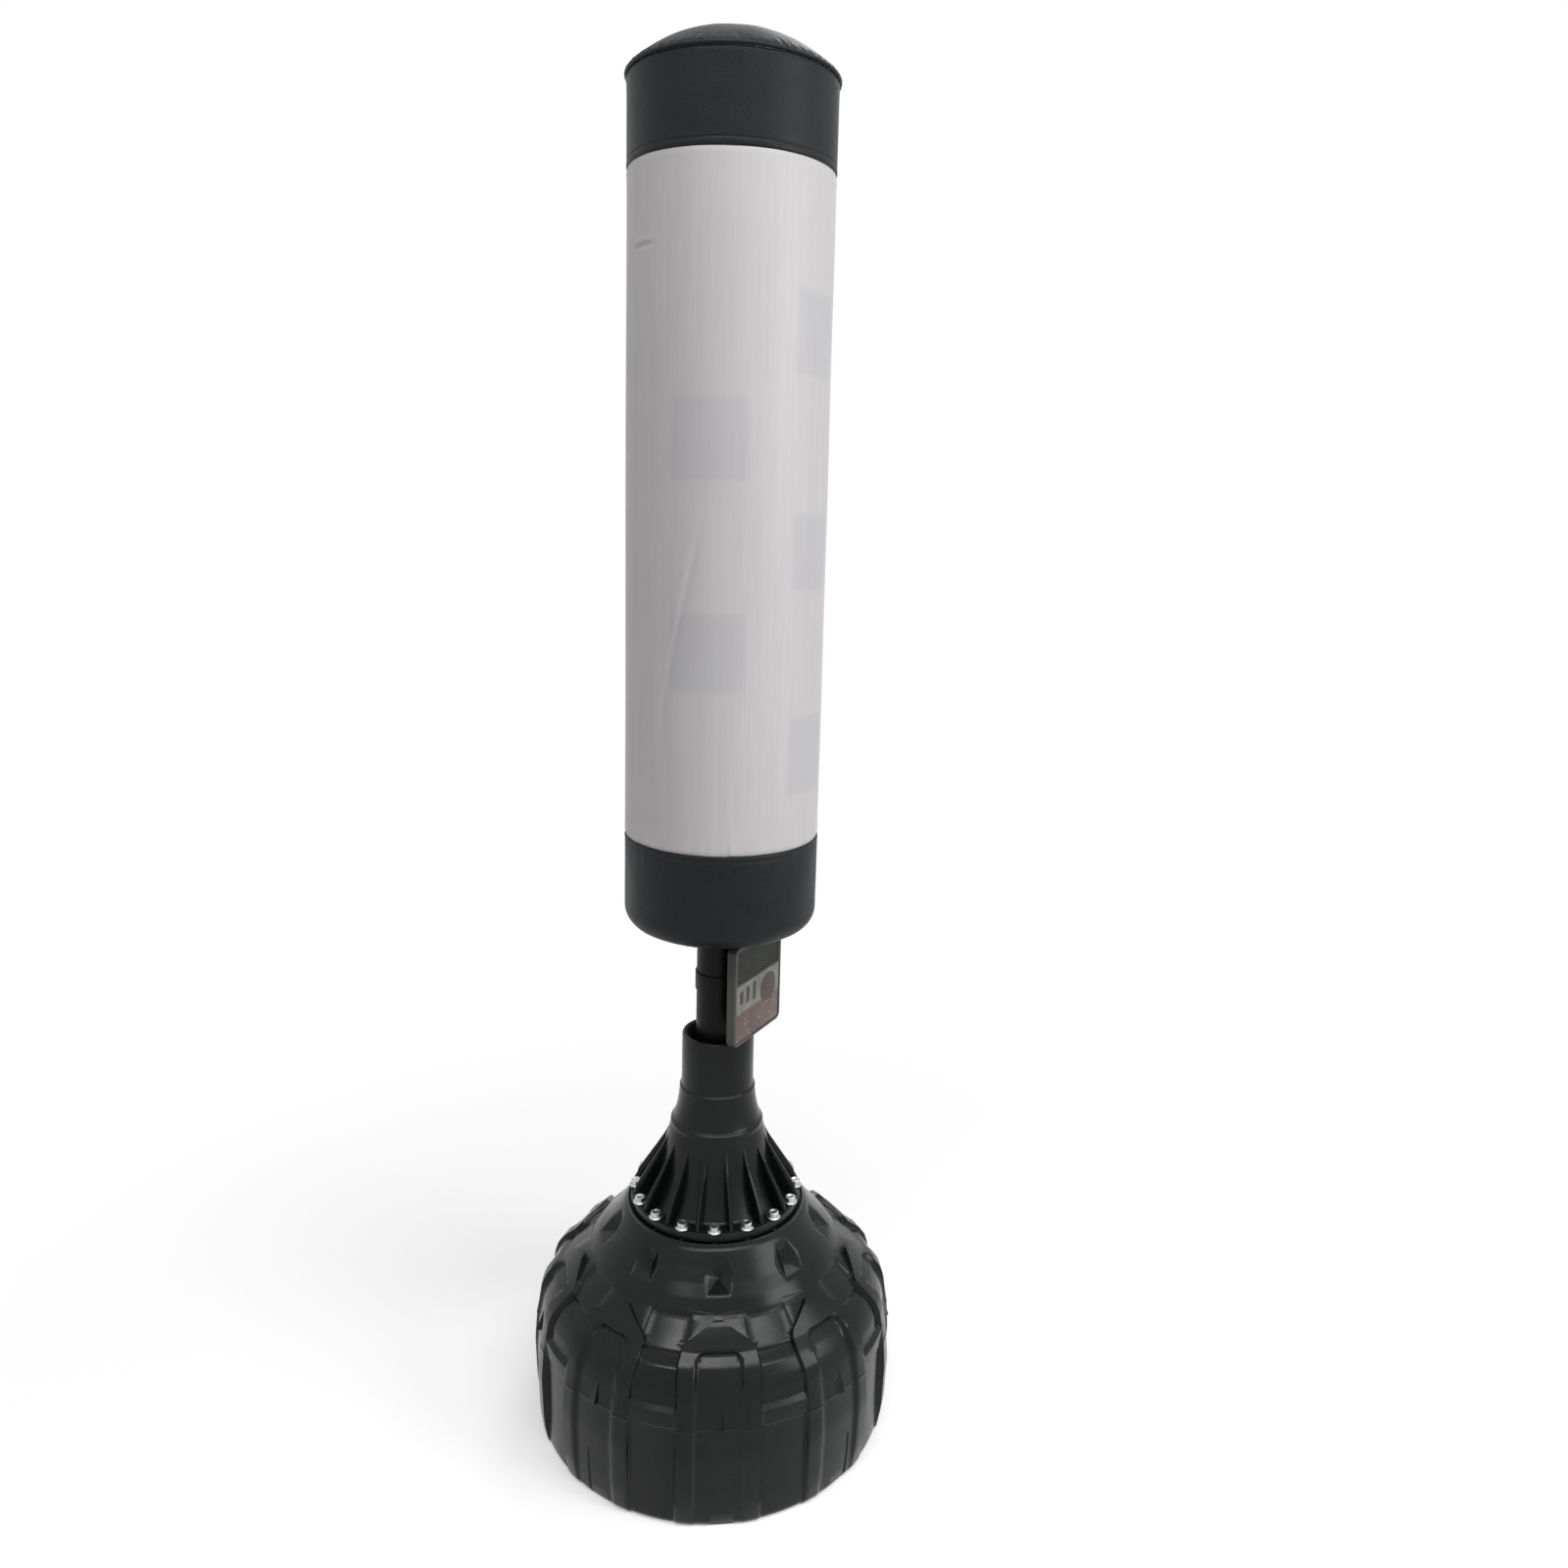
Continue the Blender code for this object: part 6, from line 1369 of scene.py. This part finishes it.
def panel_plate(name, box, corners, rings):
    """A plate in the panel's plane: rings of a rounded outline, each set in from the box at some height."""
    x0, y0, x1, y1 = box
    points = []
    for inset, height in rings:
        for (x, y), radius, first in zip(((x1, y1), (x0, y1), (x0, y0), (x1, y0)), corners,
                                         (0, 90, 180, 270)):
            r = max(radius - inset, 0.0002)
            cx = x + (r + inset) * (-1 if x == x1 else 1)
            cy = y + (r + inset) * (-1 if y == y1 else 1)
            for step in range(CORNER_STEPS):
                a = math.radians(first + step * 90 / (CORNER_STEPS - 1))
                points.append(on_panel @ Vector((cx + r * math.cos(a), cy + r * math.sin(a), height)))
    size = (len(rings), 4 * CORNER_STEPS)
    return mesh_from(name, points, grid_faces(*size) + end_caps(*size))


def panel_place(tree, place):
    """How far a point lies across the panel and up it."""
    across = put(tree, "ShaderNodeVectorMath", {0: place, 1: panel_across},
                 operation="DOT_PRODUCT").outputs["Value"]
    up = put(tree, "ShaderNodeSeparateXYZ", {0: place}).outputs[2]
    return across, put(tree, "ShaderNodeMath", {0: up, 1: PANEL_MIDDLE}, operation="SUBTRACT").outputs[0]


def printed_plate():
    """Printed, clear-coated plastic: a pale band with three dark bars and a disc over a dotted brown one."""
    made, tree, shader, place = material("printed_plastic_plate", "72716b", 0.32, IOR=1.5,
                                         Specular_IOR_Level=0.4)
    across, up = panel_place(tree, place)
    smear = noise(tree, place, 16.0, 4.0, 0.6)
    pale = blended(tree, span(tree, smear, 0.35, 0.7, 0.0, 1.0), "82817a", "62615c")
    brown = blended(tree, span(tree, smear, 0.35, 0.7, 0.0, 1.0), "64493f", "493931")
    spots = put(tree, "ShaderNodeTexVoronoi", {"Vector": place, "Scale": 1000 / 9.0}).outputs["Distance"]
    brown = blended(tree, span(tree, spots, 0.16, 0.24, 1.0, 0.0), brown, "93806d")
    colour = blended(tree, span(tree, up, -0.0240, -0.0225, 0.0, 1.0), brown, pale)

    def dark_patch(colour, middle, half_wide, half_tall, power, paint):
        """A patch of this middle and half size, an ellipse or, for a high power, nearly a box."""
        total = None
        for value, centre, half in ((across, middle[0], half_wide), (up, middle[1], half_tall)):
            off = put(tree, "ShaderNodeMath", {0: value, 1: centre}, operation="SUBTRACT").outputs[0]
            share = put(tree, "ShaderNodeMath", {0: off, 1: half}, operation="DIVIDE").outputs[0]
            size = put(tree, "ShaderNodeMath", {0: share}, operation="ABSOLUTE").outputs[0]
            term = put(tree, "ShaderNodeMath", {0: size, 1: power}, operation="POWER").outputs[0]
            total = term if total is None else put(tree, "ShaderNodeMath", {0: total, 1: term}).outputs[0]
        return blended(tree, span(tree, total, 0.9, 1.15, 1.0, 0.0), colour, paint)

    # The three bars: how far across each one's middle lies, and its half height, in metres. Then the disc.
    for middle, tall in ((-0.043, 0.0085), (-0.027, 0.0110), (-0.010, 0.0130)):
        colour = dark_patch(colour, (middle, -0.0030), 0.0042, tall, 6.0, "2e2c2a")
    colour = dark_patch(colour, (0.026, -0.0100), 0.0200, 0.0190, 2.4, "33211e")
    tree.links.new(colour, shader.inputs["Base Color"])
    tree.links.new(span(tree, smear, 0.3, 0.7, 0.24, 0.42), shader.inputs["Roughness"])
    bump(tree, shader, noise(tree, place, 4.0, 2.0), 0.03)
    return made


panel_abs = moulded_plastic("moulded_grey_abs", "3b3d3a", "4a4c48", 0.42, 1.0, 0.05, 0.3)
sheet_black = painted_steel("perforated_painted_sheet", "434542", "5c5e5a", 0.45)
half_x, half_y = PANEL_SIZE[0] / 2, PANEL_SIZE[1] / 2
tray_rings = ((0.0012, PANEL_BACK), (0.0, PANEL_BACK + 0.0012), (0.0, PANEL_FRONT - 0.0024),
              (0.0003, PANEL_FRONT - 0.0012), (0.0011, PANEL_FRONT - 0.0003), (0.0022, PANEL_FRONT),
              (PANEL_RIM - 0.0010, PANEL_FRONT), (PANEL_RIM - 0.0003, PANEL_FRONT - 0.0002),
              (PANEL_RIM, PANEL_FRONT - 0.0009), (PANEL_RIM, POCKET_FLOOR))
tray = panel_plate("panel_tray", (-half_x, -half_y, half_x, half_y), (PANEL_CORNER,) * 4, tray_rings)
piece("panel_tray", tray, panel_abs, "post", "grey_panel_plastic", "panel_housing")
PLATE_TOP = POCKET_FLOOR + 0.0015
plate_rings = ((0.0, POCKET_FLOOR + 0.0001), (0.0, PLATE_TOP - 0.0004), (0.0002, PLATE_TOP - 0.0001),
               (0.0006, PLATE_TOP))
printed = panel_plate("printed_plate", (-SHEET_HALF, PLATE_LOW_Y, SHEET_HALF, PLATE_HIGH_Y),
                      (TIGHT_CORNER, TIGHT_CORNER, ROUND_CORNER, ROUND_CORNER), plate_rings)
piece("printed_plate", printed, printed_plate(), "post", "printed_panel_face", "panel_face")

# Perforated sheet: one square tile with a round hole, repeated in rows that are offset by half a tile, in a
# frame.
HOLE, TILE_WIDE, TILE_TALL, SHEET_TOP = 0.00125, 0.0036, 0.0034, POCKET_FLOOR + 0.0013
SHEET_COLUMNS, SHEET_ROWS, SHEET_FRAME, SHEET_THICK = 29, 12, 0.0030, 0.0009
HOLE_STEPS = 16
tile_points = []
for k in range(HOLE_STEPS):
    a = math.tau * (k + 0.5) / HOLE_STEPS + math.tau / (2 * HOLE_STEPS)
    far = 1 / max(abs(math.cos(a)), abs(math.sin(a)))
    x, y = math.cos(a), math.sin(a)
    tile_points.append((x * far * TILE_WIDE / 2, y * far * TILE_TALL / 2, 0.0))
for height in (0.0, -SHEET_THICK):
    for k in range(HOLE_STEPS):
        a = math.tau * (k + 1) / HOLE_STEPS
        tile_points.append((HOLE * math.cos(a), HOLE * math.sin(a), height))
one_tile = mesh_from("sheet_tile", tile_points, grid_faces(3, HOLE_STEPS), hold_faces=True)
tile_tree, given = new_tree("offset_rows", (("Columns", "Int"), ("Rows", "Int"), ("Across", "Float"),
                                            ("Up", "Float"), ("Finish", "Material")))
total = put(tile_tree, "ShaderNodeMath", {0: given["Columns"], 1: given["Rows"]}, operation="MULTIPLY")
spots = put(tile_tree, "GeometryNodeMeshLine", {"Count": total.outputs[0], "Offset": (0.0, 0.0, 0.0)})
number = put(tile_tree, "GeometryNodeInputIndex").outputs[0]
column = put(tile_tree, "ShaderNodeMath", {0: number, 1: given["Columns"]}, operation="MODULO").outputs[0]
share = put(tile_tree, "ShaderNodeMath", {0: number, 1: given["Columns"]}, operation="DIVIDE").outputs[0]
row = put(tile_tree, "ShaderNodeMath", {0: share}, operation="FLOOR").outputs[0]
odd = put(tile_tree, "ShaderNodeMath", {0: row, 1: 2.0}, operation="MODULO").outputs[0]
shifted = put(tile_tree, "ShaderNodeMath", {0: odd, 1: 0.5, 2: column}, operation="MULTIPLY_ADD").outputs[0]
x = put(tile_tree, "ShaderNodeMath", {0: shifted, 1: given["Across"]}, operation="MULTIPLY").outputs[0]
y = put(tile_tree, "ShaderNodeMath", {0: row, 1: given["Up"]}, operation="MULTIPLY").outputs[0]
tile_place = put(tile_tree, "ShaderNodeCombineXYZ", {"X": x, "Y": y})
moved = put(tile_tree, "GeometryNodeSetPosition",
            {"Geometry": spots.outputs[0], "Offset": tile_place.outputs[0]})
laid = put(tile_tree, "GeometryNodeInstanceOnPoints",
           {"Points": moved.outputs[0], "Instance": given["Geometry"]})
ended(tile_tree, laid.outputs[0], given["Finish"])
holes = grown(tile_tree, one_tile, columns=SHEET_COLUMNS, rows=SHEET_ROWS, across=TILE_WIDE, up=TILE_TALL,
              finish=sheet_black)
sheet_middle = (SHEET_LOW_Y + SHEET_HIGH_Y) / 2
holes.transform(on_panel @ Matrix.Translation((-TILE_WIDE * (SHEET_COLUMNS - 0.5) / 2,
                                               sheet_middle - TILE_TALL * (SHEET_ROWS - 1) / 2, SHEET_TOP)))
frame_rings = ((0.0, POCKET_FLOOR + 0.0001), (0.0, SHEET_TOP + 0.0002), (0.0004, SHEET_TOP + 0.0006),
               (SHEET_FRAME - 0.0004, SHEET_TOP + 0.0006), (SHEET_FRAME, SHEET_TOP + 0.0002),
               (SHEET_FRAME, POCKET_FLOOR + 0.0001))
sheet_frame = panel_plate("sheet_frame", (-SHEET_HALF, SHEET_LOW_Y, SHEET_HALF, SHEET_HIGH_Y),
                          (ROUND_CORNER, ROUND_CORNER, TIGHT_CORNER, TIGHT_CORNER), frame_rings)
piece("perforated_sheet", joined("perforated_sheet", sheet_frame, holes), sheet_black, "post",
      "dark_grille", "panel_grille")
piece("clamp_bracket", softened("panel_clamp", "clamp_bracket", 0.0007), black_paint, "post",
      "black_painted_steel", "panel_clamp")
